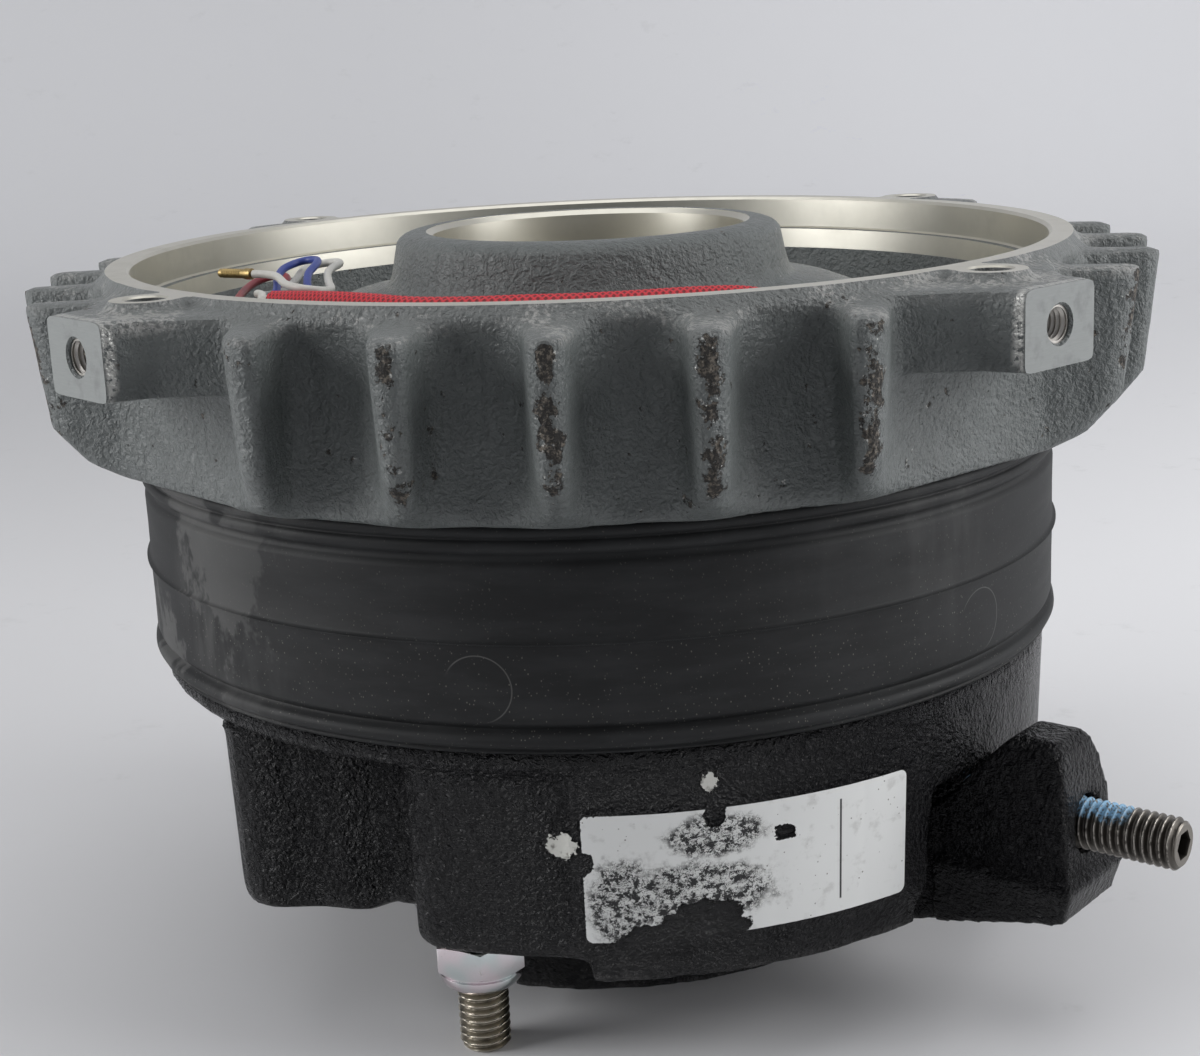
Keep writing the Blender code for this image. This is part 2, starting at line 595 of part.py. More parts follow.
def make_coil_body(finish):
    body = add_object("coil_body", loft([
        body_outline(FLANGE_TOP + 1.0 * MM, 1.0), body_outline(FLANGE_TOP + FLANGE_T, 1.0),
        body_outline(BODY_BOTTOM - 2.2 * MM, BODY_DRAFT),
        body_outline(BODY_BOTTOM - 0.5 * MM, BODY_DRAFT - 0.012),
        body_outline(BODY_BOTTOM, BODY_DRAFT - 0.035),
    ]), finish)
    upper = lathe([
        (SHAFT_BORE_R - 4.0 * MM, COIL_FACE), (COIL_BODY_SPIGOT_R - 0.6 * MM, COIL_FACE),
        (COIL_BODY_SPIGOT_R, COIL_FACE + 0.6 * MM), (COIL_BODY_SPIGOT_R, FLANGE_TOP),
        (FLANGE_R - 0.4 * MM, FLANGE_TOP), (FLANGE_R, FLANGE_TOP + 0.4 * MM),
        (FLANGE_R, FLANGE_TOP + FLANGE_T - 0.8 * MM),
        (FLANGE_R - 1.2 * MM, FLANGE_TOP + FLANGE_T),
        (SHAFT_BORE_R - 4.0 * MM, FLANGE_TOP + FLANGE_T + 1.0 * MM),
    ])
    boolean(body, "UNION", upper, "pole_flange")
    foot = turned(sector(
        YOKE_RECESS_R + 4.0 * MM, LABEL_FOOT_R, LABEL_FOOT_SWEEP, BODY_BOTTOM - LABEL_FOOT_H,
        BODY_BOTTOM + LABEL_FOOT_H, 10,
    ), LEVER_AZ - LABEL_FOOT_TURN)
    boolean(body, "UNION", foot, "label_foot")

    slot_end = BORE_R + 15.0 * MM
    arm_slot = turned(prism([
        (YOKE_RECESS_R - 3.0 * MM, -ARM_SLOT_W / 2), (slot_end, -ARM_SLOT_W / 2),
        (slot_end, ARM_SLOT_W / 2), (YOKE_RECESS_R - 3.0 * MM, ARM_SLOT_W / 2),
    ], ARM_SLOT_TOP, BODY_BOTTOM + 8.0 * MM), LEVER_AZ)
    boolean(body, "DIFFERENCE", arm_slot, "arm_slot")
    recess = cylinder(YOKE_RECESS_R, RECESS_FLOOR, BODY_BOTTOM + 8.0 * MM, count=36)
    boolean(body, "DIFFERENCE", recess, "yoke_recess")

    holes = [
        cylinder(SHAFT_BORE_R, COIL_FACE - 2.0 * MM, BODY_BOTTOM + 2.0 * MM, count=20),
        lathe([
            (COIL_INNER_R - COIL_CLEARANCE, COIL_FACE - 2.0 * MM),
            (COIL_OUTER_R + COIL_CLEARANCE, COIL_FACE - 2.0 * MM),
            (COIL_OUTER_R + COIL_CLEARANCE, COIL_FACE + COIL_H + 1.0 * MM),
            (COIL_INNER_R - COIL_CLEARANCE, COIL_FACE + COIL_H + 1.0 * MM),
        ], 28),
    ]
    for azimuth in STUD_AZIMUTHS:
        counterbore = [
            (0.0, COIL_FACE - 2.0 * MM), (COUNTERBORE_R, COIL_FACE - 2.0 * MM),
            (COUNTERBORE_R, COIL_FACE + COUNTERBORE_DEPTH),
            (STUD_HOLE_R, COIL_FACE + COUNTERBORE_DEPTH), (STUD_HOLE_R, BODY_BOTTOM + 6.0 * MM),
            (0.0, BODY_BOTTOM + 6.0 * MM),
        ]
        bored = lathe(counterbore, 12)
        centre = polar(STUD_CIRCLE_R, azimuth)
        bmesh.ops.translate(bored, verts=bored.verts, vec=(centre.x, centre.y, 0.0))
        holes.append(bored)
    for azimuth in BRAKE_SPRING_AZIMUTHS:
        holes.append(cylinder_at(
            SPRING_POCKET_R, COIL_FACE - 2.0 * MM, COIL_FACE + SPRING_POCKET_DEPTH,
            SPRING_CIRCLE_R, azimuth, 8,
        ))
    for azimuth in RELEASE_AZIMUTHS:
        holes.append(cylinder_at(
            RELEASE_HOLE_R, COIL_FACE - 2.0 * MM, BODY_BOTTOM, RELEASE_CIRCLE_R, azimuth, 10,
        ))
    boolean(body, "DIFFERENCE", joined(*holes), "bored_holes")
    return body


def make_coil(finish):
    round_off = 1.2 * MM
    top = COIL_FACE + 0.5 * MM
    bottom = COIL_FACE + COIL_H
    return add_object("coil", lathe([
        (COIL_INNER_R, top + round_off), (COIL_INNER_R + round_off, top),
        (COIL_OUTER_R - round_off, top), (COIL_OUTER_R, top + round_off),
        (COIL_OUTER_R, bottom), (COIL_INNER_R, bottom),
    ], 28), finish)


def flat_ring(name, inner, outer, top, thickness, finish, steps=28, centre=(0.0, 0.0)):
    bm = lathe([(inner, top), (outer, top), (outer, top + thickness), (inner, top + thickness)], steps)
    bmesh.ops.translate(bm, verts=bm.verts, vec=(centre[0], centre[1], 0.0))
    return add_object(name, bm, finish)


def toothed_loop(root_r, tooth_h, tooth_half, depth):
    """Loop with four points for each tooth: two at the root and two at the tip."""
    points = []
    for tooth in range(TEETH):
        middle = 360.0 * tooth / TEETH
        root_half = tooth_half + 360.0 / TEETH * 0.09
        points.append(polar(root_r, middle - root_half, depth))
        points.append(polar(root_r + tooth_h, middle - tooth_half, depth))
        points.append(polar(root_r + tooth_h, middle + tooth_half, depth))
        points.append(polar(root_r, middle + root_half, depth))
    return points


def make_rotor(steel, lining):
    tooth_half = 360.0 / TEETH * 0.17
    ease = math.degrees(TOOTH_CLEARANCE / (TOOTH_ROOT_R + TOOTH_H))
    disc_top = DISC_TOP + LINING_T + RUN_GAP
    count = 4 * TEETH
    outer = [circle(DISC_R, depth, count) for depth in (disc_top, disc_top + DISC_T)]
    inner = [
        toothed_loop(TOOTH_ROOT_R + TOOTH_CLEARANCE, TOOTH_H, tooth_half + ease, depth)
        for depth in (disc_top + DISC_T, disc_top)
    ]
    add_object("brake_disc", ring_loft([outer[0], outer[1], inner[0], inner[1]]), steel)
    flat_ring("friction_lining_motor_side", LINING_INNER_R, DISC_R, DISC_TOP, LINING_T, lining)
    flat_ring("friction_lining_coil_side", LINING_INNER_R, DISC_R, LINING_2_TOP, LINING_T, lining)

    carrier_top = disc_top + DISC_T / 2 - CARRIER_H / 2
    teeth = [
        toothed_loop(TOOTH_ROOT_R, TOOTH_H, tooth_half, depth)
        for depth in (carrier_top, carrier_top + CARRIER_H)
    ]
    carrier = add_object("toothed_carrier", loft(teeth), steel)
    bore = cylinder(
        CARRIER_BORE_R, carrier_top - 2.0 * MM, carrier_top + CARRIER_H + 2.0 * MM, count=24,
    )
    boolean(carrier, "DIFFERENCE", bore, "carrier_bore")
    half = KEYWAY_W / 2
    keyway = prism([
        (0.0, -half), (CARRIER_BORE_R + KEYWAY_H, -half),
        (CARRIER_BORE_R + KEYWAY_H, half), (0.0, half),
    ], carrier_top - 2.0 * MM, carrier_top + CARRIER_H + 2.0 * MM)
    boolean(carrier, "DIFFERENCE", keyway, "keyway")


def make_armature(steel, damping):
    plate = flat_ring(
        "pressure_plate", PLATE_INNER_R, PLATE_R, PLATE_TOP, PRESSURE_PLATE_T, steel, 36,
    )
    cuts = []
    for azimuth in STUD_AZIMUTHS:
        width = COUNTERBORE_R
        start = STUD_CIRCLE_R - COUNTERBORE_R
        outline = [(start, -width), (PLATE_R + 4.0 * MM, -width),
                   (PLATE_R + 4.0 * MM, width), (start, width)]
        cuts.append(turned(prism(
            outline, PLATE_TOP - 2.0 * MM, PLATE_TOP + PRESSURE_PLATE_T + 2.0 * MM,
        ), azimuth))
    for azimuth in RELEASE_AZIMUTHS:
        cuts.append(cylinder_at(
            RELEASE_STUD_R + RUN_GAP, PLATE_TOP + 1.0 * MM, COIL_FACE, RELEASE_CIRCLE_R,
            azimuth, 12,
        ))
    boolean(plate, "DIFFERENCE", joined(*cuts), "stud_slots")
    flat_ring(
        "damping_plate", DAMPING_INNER_R, DAMPING_OUTER_R, DAMPING_TOP, DAMPING_PLATE_T, damping,
    )


def hex_loop(across_flats, depth, centre):
    """Twelve points of a hexagon: its corners and the middles of its flats."""
    corner = across_flats / math.sqrt(3.0)
    loop = []
    for i in range(12):
        radius = corner if i % 2 == 0 else across_flats / 2
        point = polar(radius, NUT_TURN + 30.0 * i, depth)
        loop.append(Vector((point.x + centre[0], point.y + centre[1], point.z)))
    return loop


def round_loop(radius, depth, centre):
    loop = circle(radius, depth, 12, NUT_TURN)
    return [Vector((p.x + centre[0], p.y + centre[1], p.z)) for p in loop]


def lock_nut(name, across_flats, tall, hole_r, top, centre, finish):
    """Hexagon nut with the round collar of its nylon insert at the lower end."""
    hexagon = top + 0.68 * tall
    collar_r = across_flats * 0.43
    loops = [
        round_loop(across_flats * 0.47, top, centre),
        hex_loop(across_flats, top + 0.06 * tall, centre),
        hex_loop(across_flats, hexagon, centre),
        round_loop(collar_r, hexagon + 0.12 * tall, centre),
        round_loop(collar_r, top + 0.94 * tall, centre),
        round_loop(collar_r - 0.06 * across_flats, top + tall, centre),
        round_loop(hole_r, top + tall, centre),
        round_loop(hole_r, top, centre),
    ]
    add_object(name, ring_loft(loops), finish)


def stud(name, radius, top, bottom, centre, finish):
    """Plain stud with chamfered ends; its thread belongs to the surface finish."""
    chamfer = 0.8 * MM
    loops = [
        (radius - chamfer, top), (radius, top + chamfer),
        (radius, bottom - chamfer), (radius - chamfer, bottom),
    ]
    points = [
        [Vector((p.x + centre[0], p.y + centre[1], p.z)) for p in circle(r, depth, 12)]
        for r, depth in loops
    ]
    add_object(name, loft(points), finish)


def make_studs(zinc, steel, spring_steel):
    for number, azimuth in enumerate(STUD_AZIMUTHS, 1):
        centre = polar(STUD_CIRCLE_R, azimuth).xy
        stud(f"mounting_stud_{number}", STUD_R, STUD_TOP_DEPTH, RIM_HEIGHT, centre, steel)
        flat_ring(
            f"pressure_ring_{number}", STUD_R + RUN_GAP, PRESSURE_RING_R, RING_TOP,
            PRESSURE_RING_T, steel, 12, centre,
        )
        lock_nut(
            f"mounting_nut_{number}", NUT_ACROSS_FLATS, NUT_H, STUD_R + RUN_GAP, NUT_TOP,
            centre, zinc,
        )
        seat = BOSS_DEPTH + RUN_GAP + COUNTER_SPRING_WIRE
        foot = COIL_FACE + COUNTERBORE_DEPTH - RUN_GAP - COUNTER_SPRING_WIRE
        wire_coil(
            f"counter_spring_{number}", ((COUNTER_SPRING_R, seat), (COUNTER_SPRING_R, foot)),
            COUNTER_SPRING_WIRE, spring_steel, centre, 4.5, 7,
        )


def make_brake_springs(spring_steel):
    top = PLATE_TOP + PRESSURE_PLATE_T + RUN_GAP + SPRING_WIRE
    bottom = COIL_FACE + SPRING_POCKET_DEPTH - RUN_GAP - SPRING_WIRE
    for number, azimuth in enumerate(BRAKE_SPRING_AZIMUTHS, 1):
        centre = polar(SPRING_CIRCLE_R, azimuth).xy
        wire_coil(
            f"brake_spring_{number}", ((SPRING_R, top), (SPRING_R, bottom)), SPRING_WIRE,
            spring_steel, centre, 4.5, 6,
        )


def make_release_gear(zinc, steel, spring_steel):
    bottom = SETTING_NUT_TOP + SETTING_NUT_H + 0.8 * MM
    for number, azimuth in enumerate(RELEASE_AZIMUTHS, 1):
        centre = polar(RELEASE_CIRCLE_R, azimuth).xy
        stud(
            f"release_stud_{number}", RELEASE_STUD_R, PLATE_TOP + 1.3 * MM, bottom, centre, steel,
        )
        lock_nut(
            f"setting_nut_{number}", SETTING_NUT_AF, SETTING_NUT_H, RELEASE_STUD_R + RUN_GAP,
            SETTING_NUT_TOP, centre, zinc,
        )
        top = SETTING_SPRING_TOP + CONICAL_WIRE
        foot = SETTING_SPRING_TOP + CONICAL_SPRING_H - CONICAL_WIRE
        rows = ((CONICAL_SPRING_R, top), (CONICAL_SPRING_R - 1.6 * MM, foot))
        wire_coil(
            f"conical_spring_{number}", rows, CONICAL_WIRE, spring_steel, centre, 2, 7,
        )


def make_lever(finish):
    lever = add_object("release_lever", turned(sector(
        YOKE_INNER_R, YOKE_OUTER_R, YOKE_SWEEP, YOKE_TOP, ARM_BOTTOM, 22,
    ), LEVER_AZ), finish, polar(NOSE_OFFSET, LEVER_AZ + 180.0, PIVOT_DEPTH))
    rib = turned(sector(
        RIB_INNER_R, YOKE_OUTER_R, RIB_SWEEP, ARM_BOTTOM - 1.0 * MM, RIB_DEPTH, 12,
    ), LEVER_AZ)
    boolean(lever, "UNION", rib, "yoke_rib")
    half = BOSS_W / 2
    root = RIB_INNER_R + 3.0 * MM
    boss = loft([
        [
            Vector((start, -near, height(depth))), Vector((end, -near, height(depth))),
            Vector((end, far, height(depth))), Vector((start, far, height(depth))),
        ]
        for depth, start, end, near, far in (
            (BOSS_TOP, BOSS_END - 10.4 * MM, BOSS_END - 3.8 * MM, 0.62 * half, 0.4 * half),
            (BOSS_TOP + 1.2 * MM, BOSS_END - 11.8 * MM, BOSS_END - 2.4 * MM, 0.82 * half, 0.52 * half),
            (BOSS_TOP + 5.0 * MM, BOSS_END - 15.2 * MM, BOSS_END - 1.5 * MM, 0.89 * half, 0.7 * half),
            (BOSS_TOP + 11.0 * MM, BOSS_END - 20.4 * MM, BOSS_END - 0.8 * MM, 0.94 * half, 0.91 * half),
            (YOKE_TOP + 1.0 * MM, BOSS_END - 32.4 * MM, BOSS_END - 0.2 * MM, 0.98 * half, 0.98 * half),
            (BOSS_PARTING, root, BOSS_END, half, half),
            (BOSS_BOTTOM, root, BOSS_END - 1.6 * MM, 0.9 * half, 0.9 * half),
            (BOSS_BOTTOM + 5.4 * MM, root, YOKE_OUTER_R + 19.0 * MM, 0.83 * half, 0.83 * half),
            (RIB_DEPTH - 3.0 * MM, root, YOKE_OUTER_R - 1.0 * MM, 0.78 * half, 0.78 * half),
        )
    ])
    boolean(lever, "UNION", turned(boss, LEVER_AZ), "screw_boss")

    noses = []
    arm_middle = (YOKE_INNER_R + YOKE_OUTER_R) / 2
    for side in (-1, 1):
        across = math.sqrt(arm_middle ** 2 - NOSE_OFFSET ** 2) * side
        nose = bmesh.new()
        bmesh.ops.create_cone(
            nose, cap_ends=True, segments=16, radius1=NOSE_R, radius2=NOSE_R, depth=9.0 * MM,
        )
        bmesh.ops.rotate(nose, verts=nose.verts, matrix=Matrix.Rotation(math.radians(90), 3, "X"))
        centre = (-NOSE_OFFSET, across, height(PIVOT_DEPTH))
        bmesh.ops.translate(nose, verts=nose.verts, vec=centre)
        noses.append(turned(nose, LEVER_AZ))
    boolean(lever, "UNION", joined(*noses), "fulcrum_noses")

    cuts = [radial_cylinder(
        SCREW_HOLE_R, SCREW_TIP - SCREW_LENGTH - SCREW_TRAVEL, BOSS_END + 4.0 * MM, LEVER_AZ,
        SCREW_DEPTH, 20,
    )]
    for azimuth in RELEASE_AZIMUTHS:
        cuts.append(cylinder_at(
            RELEASE_HOLE_R + 0.4 * MM, YOKE_TOP - 4.0 * MM, ARM_BOTTOM + 2.0 * MM,
            RELEASE_CIRCLE_R, azimuth, 12,
        ))
    boolean(lever, "DIFFERENCE", joined(*cuts), "lever_holes")
    bevel = lever.modifiers.new("cast_edges", "BEVEL")
    bevel.width = 0.9 * MM
    bevel.segments = 1
    bevel.limit_method = "ANGLE"
    bevel.angle_limit = math.radians(50)
    return lever


def make_set_screw(finish):
    screw = add_object("set_screw", radial_cylinder(
        SCREW_R, SCREW_TIP - SCREW_LENGTH, SCREW_TIP, LEVER_AZ, SCREW_DEPTH, 20,
    ), finish, polar(SCREW_TIP - SCREW_LENGTH / 2, LEVER_AZ, SCREW_DEPTH))
    socket = radial_cylinder(
        SCREW_SOCKET_R, SCREW_TIP - SCREW_SOCKET_DEPTH, SCREW_TIP + 2.0 * MM, LEVER_AZ,
        SCREW_DEPTH, 6,
    )
    boolean(screw, "DIFFERENCE", socket, "hexagon_socket")
    return screw


def web_depth(radius):
    """Depth of the bowl's conical floor at a radius."""
    share = (radius - WEB_INNER_R) / (WEB_OUTER_R - WEB_INNER_R)
    return WEB_TOP_IN + (WEB_TOP_OUT - WEB_TOP_IN) * share


# Route of the sleeve from the grommet to its open end
SLEEVE_ROUTE = [
    polar(LEAD_CIRCLE_R, GROMMET_AZ, web_depth(LEAD_CIRCLE_R) + 6.0 * MM),
    polar(LEAD_CIRCLE_R, GROMMET_AZ, web_depth(LEAD_CIRCLE_R)),
    polar(LEAD_CIRCLE_R - 0.4 * MM, 38.6, 7.6 * MM), polar(LEAD_CIRCLE_R - 2.0 * MM, 32.0, 5.8 * MM),
    polar(LEAD_CIRCLE_R - 4.6 * MM, 24.0, 5.5 * MM), polar(LEAD_CIRCLE_R - 6.4 * MM, 14.0, 5.6 * MM),
    polar(LEAD_CIRCLE_R - 7.2 * MM, 3.0, 5.7 * MM), polar(LEAD_CIRCLE_R - 7.2 * MM, -9.0, 5.7 * MM),
    polar(LEAD_CIRCLE_R - 6.4 * MM, -21.0, 5.9 * MM), polar(LEAD_CIRCLE_R - 5.0 * MM, -33.0, 6.0 * MM),
    polar(LEAD_CIRCLE_R - 3.4 * MM, -42.0, 5.7 * MM), polar(LEAD_CIRCLE_R - 1.2 * MM, -50.0, 5.6 * MM),
    polar(LEAD_CIRCLE_R + 1.4 * MM, -56.5, 5.7 * MM), polar(LEAD_CIRCLE_R + 4.4 * MM, -62.0, 5.9 * MM),
]

# Routes of the three leads past the sleeve's open end: out from the lead circle in mm,
# azimuth, and depth in mm
WHITE_ROUTE = (
    (5.2, -66.6, 4.7), (5.3, -71.5, 5.0), (3.6, -77.0, 6.0), (0.9, -82.5, 6.0), (-0.4, -88.0, 5.0),
    (-0.5, -94.0, 4.0), (-1.6, -97.8, 3.5), (-3.8, -99.3, 3.2), (-6.0, -97.8, 3.0),
    (-7.1, -94.0, 3.0), (-6.8, -87.0, 3.1), (-6.5, -80.0, 3.4), (-6.4, -73.5, 4.2),
    (-6.0, -67.0, 4.6), (-4.6, -62.8, 4.5), (-2.2, -61.4, 4.1), (0.0, -63.2, 3.7),
    (1.2, -67.5, 3.4), (1.4, -73.0, 3.1), (2.0, -77.6, 3.0), (3.6, -81.0, 3.0), (5.8, -82.6, 3.0),
)
BLUE_ROUTE = (
    (3.4, -69.0, 6.0), (2.2, -73.5, 5.2), (1.8, -78.0, 4.6), (1.9, -83.0, 3.9), (1.5, -88.2, 3.0),
    (-0.1, -91.8, 2.4), (-2.3, -92.2, 2.0), (-4.2, -89.4, 1.9), (-4.4, -84.0, 2.2),
    (-3.4, -78.0, 3.0), (-2.8, -72.0, 4.4), (-2.6, -67.5, 6.0), (-1.8, -63.5, 7.8),
)
RED_ROUTE = (
    (7.7, -69.5, 6.3), (8.2, -75.0, 6.2), (8.0, -81.0, 6.2), (7.6, -87.0, 5.8), (6.9, -92.0, 5.3),
    (5.1, -95.4, 4.9), (2.9, -95.4, 5.0), (1.9, -92.0, 5.8), (2.5, -87.0, 7.1),
    (3.8, -81.0, 8.7), (5.0, -75.0, 9.9), (6.0, -70.0, 10.6),
)


def lead_start(turn):
    """First two points of a lead, which leaves the sleeve's open end at this turn."""
    end, before = SLEEVE_ROUTE[-1], SLEEVE_ROUTE[-2]
    along = (end - before).normalized()
    up = Vector((0.0, 0.0, 1.0))
    outward = up.cross(along) if up.cross(along).dot(end) > 0 else along.cross(up)
    angle = math.radians(turn)
    offset = (outward * math.cos(angle) + up * math.sin(angle)) * LEAD_D * 0.64
    return [end + along * RUN_GAP / 2 + offset, end + along * 2.4 * MM + offset * 1.2]


def make_leads(rubber, sleeve, white, blue, red, brass):
    floor = web_depth(LEAD_CIRCLE_R)
    inner = SLEEVE_D / 2 + 3 * RUN_GAP
    centre = polar(LEAD_CIRCLE_R, GROMMET_AZ).xy
    flat_ring(
        "lead_grommet", inner, GROMMET_HOLE_R - RUN_GAP, floor, GROMMET_H, rubber, 12, centre,
    )
    add_tube("lead_sleeve", smooth_route(SLEEVE_ROUTE, 2), SLEEVE_D / 2, sleeve)
    for name, turn, route, finish in (
        ("lead_white", 90.0, WHITE_ROUTE, white), ("lead_blue", 210.0, BLUE_ROUTE, blue),
        ("lead_red", -30.0, RED_ROUTE, red),
    ):
        points = [polar(LEAD_CIRCLE_R + out * MM, az, depth * MM) for out, az, depth in route]
        add_tube(name, smooth_route(lead_start(turn) + points, 2), LEAD_D / 2, finish)

    end = WHITE_ROUTE[-2:]
    before, last = [polar(LEAD_CIRCLE_R + out * MM, az, depth * MM) for out, az, depth in end]
    along = (last - before).normalized()
    start = last + along * RUN_GAP
    add_tube("lead_ferrule", [start, start + along * FERRULE_L], FERRULE_R, brass)


def main():
    for old in list(bpy.data.objects):
        bpy.data.objects.remove(old, do_unlink=True)

    painted_iron = material("painted_iron", (0.23, 0.25, 0.27), 0.5)
    black_iron = material("black_iron", (0.018, 0.018, 0.02), 0.45)
    rubber = material("rubber", (0.045, 0.046, 0.048), 0.62)
    steel = material("plain_steel", (0.48, 0.46, 0.42), 0.35, 1.0)
    zinc = material("zinc_plate", (0.74, 0.75, 0.77), 0.25, 1.0)
    black_steel = material("black_oxide_steel", (0.1, 0.095, 0.09), 0.38, 1.0)
    spring_steel = material("spring_steel", (0.35, 0.34, 0.33), 0.4, 1.0)
    stainless = material("stainless", (0.62, 0.61, 0.59), 0.28, 1.0)
    lining = material("friction_lining", (0.12, 0.09, 0.07), 0.85)
    damping = material("damping_sheet", (0.06, 0.06, 0.065), 0.7)
    resin = material("cast_resin", (0.05, 0.07, 0.05), 0.5)
    sleeve = material("braided_sleeve", (0.52, 0.03, 0.035), 0.6)
    white = material("white_insulation", (0.8, 0.78, 0.72), 0.5)
    blue = material("blue_insulation", (0.05, 0.08, 0.4), 0.5)
    red = material("red_insulation", (0.35, 0.02, 0.025), 0.5)
    brass = material("brass", (0.6, 0.42, 0.16), 0.35, 1.0)

    make_endshield(painted_iron)
    flat_ring(
        "friction_plate", SHAFT_HOLE_R + 7.0 * MM, SEAT_R - 0.5 * MM, SEAT_DEPTH + RUN_GAP,
        FRICTION_PLATE_T, stainless,
    )
    make_collar(rubber)
    make_coil_body(black_iron)
    make_coil(resin)
    make_studs(zinc, steel, spring_steel)
    make_brake_springs(spring_steel)
    make_rotor(steel, lining)
    make_armature(steel, damping)
    make_release_gear(zinc, steel, spring_steel)
    make_lever(black_iron)
    make_set_screw(black_steel)
    make_leads(rubber, sleeve, white, blue, red, brass)


main()
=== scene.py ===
"""Studio scene of a spring applied brake that is mounted under its motor endshield.

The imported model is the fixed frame. Each operator dresses one piece, or one group of like
pieces: it models the finer shape in the place of the frame's solid and gives it a finish.
Lengths are in metres, +Z is up, and the origin is on the brake axis at the stud tips.
Azimuths are in degrees from -Y, the front, towards +X.
"""

import math

import bpy
import numpy as np
from mathutils import Matrix, Vector


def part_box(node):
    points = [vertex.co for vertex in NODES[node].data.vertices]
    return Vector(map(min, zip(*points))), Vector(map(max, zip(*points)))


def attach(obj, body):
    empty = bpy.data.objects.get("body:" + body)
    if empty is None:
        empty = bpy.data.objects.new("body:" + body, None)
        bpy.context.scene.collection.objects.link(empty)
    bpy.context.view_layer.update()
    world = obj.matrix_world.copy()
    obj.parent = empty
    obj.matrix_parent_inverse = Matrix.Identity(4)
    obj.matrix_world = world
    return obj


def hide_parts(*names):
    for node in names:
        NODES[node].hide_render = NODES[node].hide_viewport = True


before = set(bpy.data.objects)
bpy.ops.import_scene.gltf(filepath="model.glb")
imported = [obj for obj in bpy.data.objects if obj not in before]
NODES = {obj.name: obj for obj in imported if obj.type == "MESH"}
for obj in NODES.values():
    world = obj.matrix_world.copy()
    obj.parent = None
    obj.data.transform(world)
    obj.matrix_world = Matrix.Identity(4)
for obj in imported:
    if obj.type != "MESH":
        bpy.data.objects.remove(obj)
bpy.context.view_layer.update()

bl_info = {
    "name": "Spring applied brake studio",
    "version": (1, 0, 0),
    "blender": (4, 5, 0),
    "location": "3D View > Sidebar > Brake",
    "description": "Dresses the packed spring applied brake and builds its studio",
    "category": "Object",
}

MM = 0.001
HUB_RISE = 2.6 * MM
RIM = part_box("endshield")[1].z - HUB_RISE
BODY_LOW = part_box("mounting_nut_1")[1].z + 2.2 * MM
LEVER_AZ = 54.0
STUD_AZIMUTHS = (LEVER_AZ - 70.8, LEVER_AZ + 70.8, LEVER_AZ + 180.0)
RELEASE_AZIMUTHS = (LEVER_AZ - 90.0, LEVER_AZ + 90.0)
LUG_AZIMUTHS = (-45.0, 45.0, 135.0, 225.0)
STUD_CIRCLE = 60.0 * MM
RELEASE_CIRCLE = 44.0 * MM
LUG_HOLE_CIRCLE = 83.0 * MM
LUG_HOLE_HEIGHT = RIM - 6.8 * MM
LEAD_CIRCLE = 50.0 * MM

# Half outline of the coil body: angle from the lever plane, inset from the flange in mm
BODY_OUTLINE = (
    (0.0, 0.2), (10.5, 0.2), (21.0, 0.3), (32.0, 0.4), (43.0, 0.4), (54.5, 0.6),
    (56.5, 1.5), (64.0, 1.5), (72.0, 1.7), (74.5, 3.0), (76.0, 6.0), (78.5, 12.2),
    (80.5, 14.0), (84.0, 13.2), (88.5, 11.0), (91.5, 8.2), (95.0, 5.7), (98.5, 5.0),
    (110.0, 6.4), (125.0, 7.6), (140.0, 7.8), (155.0, 6.4), (168.0, 4.4), (180.0, 4.0),
)

# Section of the sealing collar: radius and depth below the rim in mm
COLLAR_RADIUS = 76.0 * MM
COLLAR_SECTION = (
    (73.0, 30.0), (75.5, 30.0), (76.2, 30.2), (76.5, 30.7), (76.5, 31.2), (76.2, 31.7),
    (75.85, 31.95), (75.85, 32.2), (76.15, 32.4), (76.4, 32.9), (76.3, 33.6), (75.7, 34.1),
    (75.2, 34.4), (75.1, 34.9), (75.4, 35.4), (75.9, 35.8), (76.0, 36.4), (75.95, 41.0),
    (76.0, 46.0), (76.2, 46.4), (76.62, 46.62), (76.62, 46.78), (76.15, 46.95), (76.05, 47.4),
    (75.98, 53.0), (76.0, 58.0), (75.8, 58.6), (75.2, 58.9), (75.05, 59.3), (75.3, 59.7),
    (75.9, 59.9), (76.4, 60.4), (76.5, 61.1), (76.2, 61.7), (75.7, 61.95), (75.6, 62.2),
    (75.8, 62.45), (75.5, 62.8), (73.0, 62.8),
)

# Round mould marks on the collar: azimuth, height in mm, how plain
MOULD_MARKS = ((-9.9, 62.9, 0.8), (50.6, 63.0, 0.6), (-118.0, 62.9, 0.6), (150.0, 63.0, 0.6))

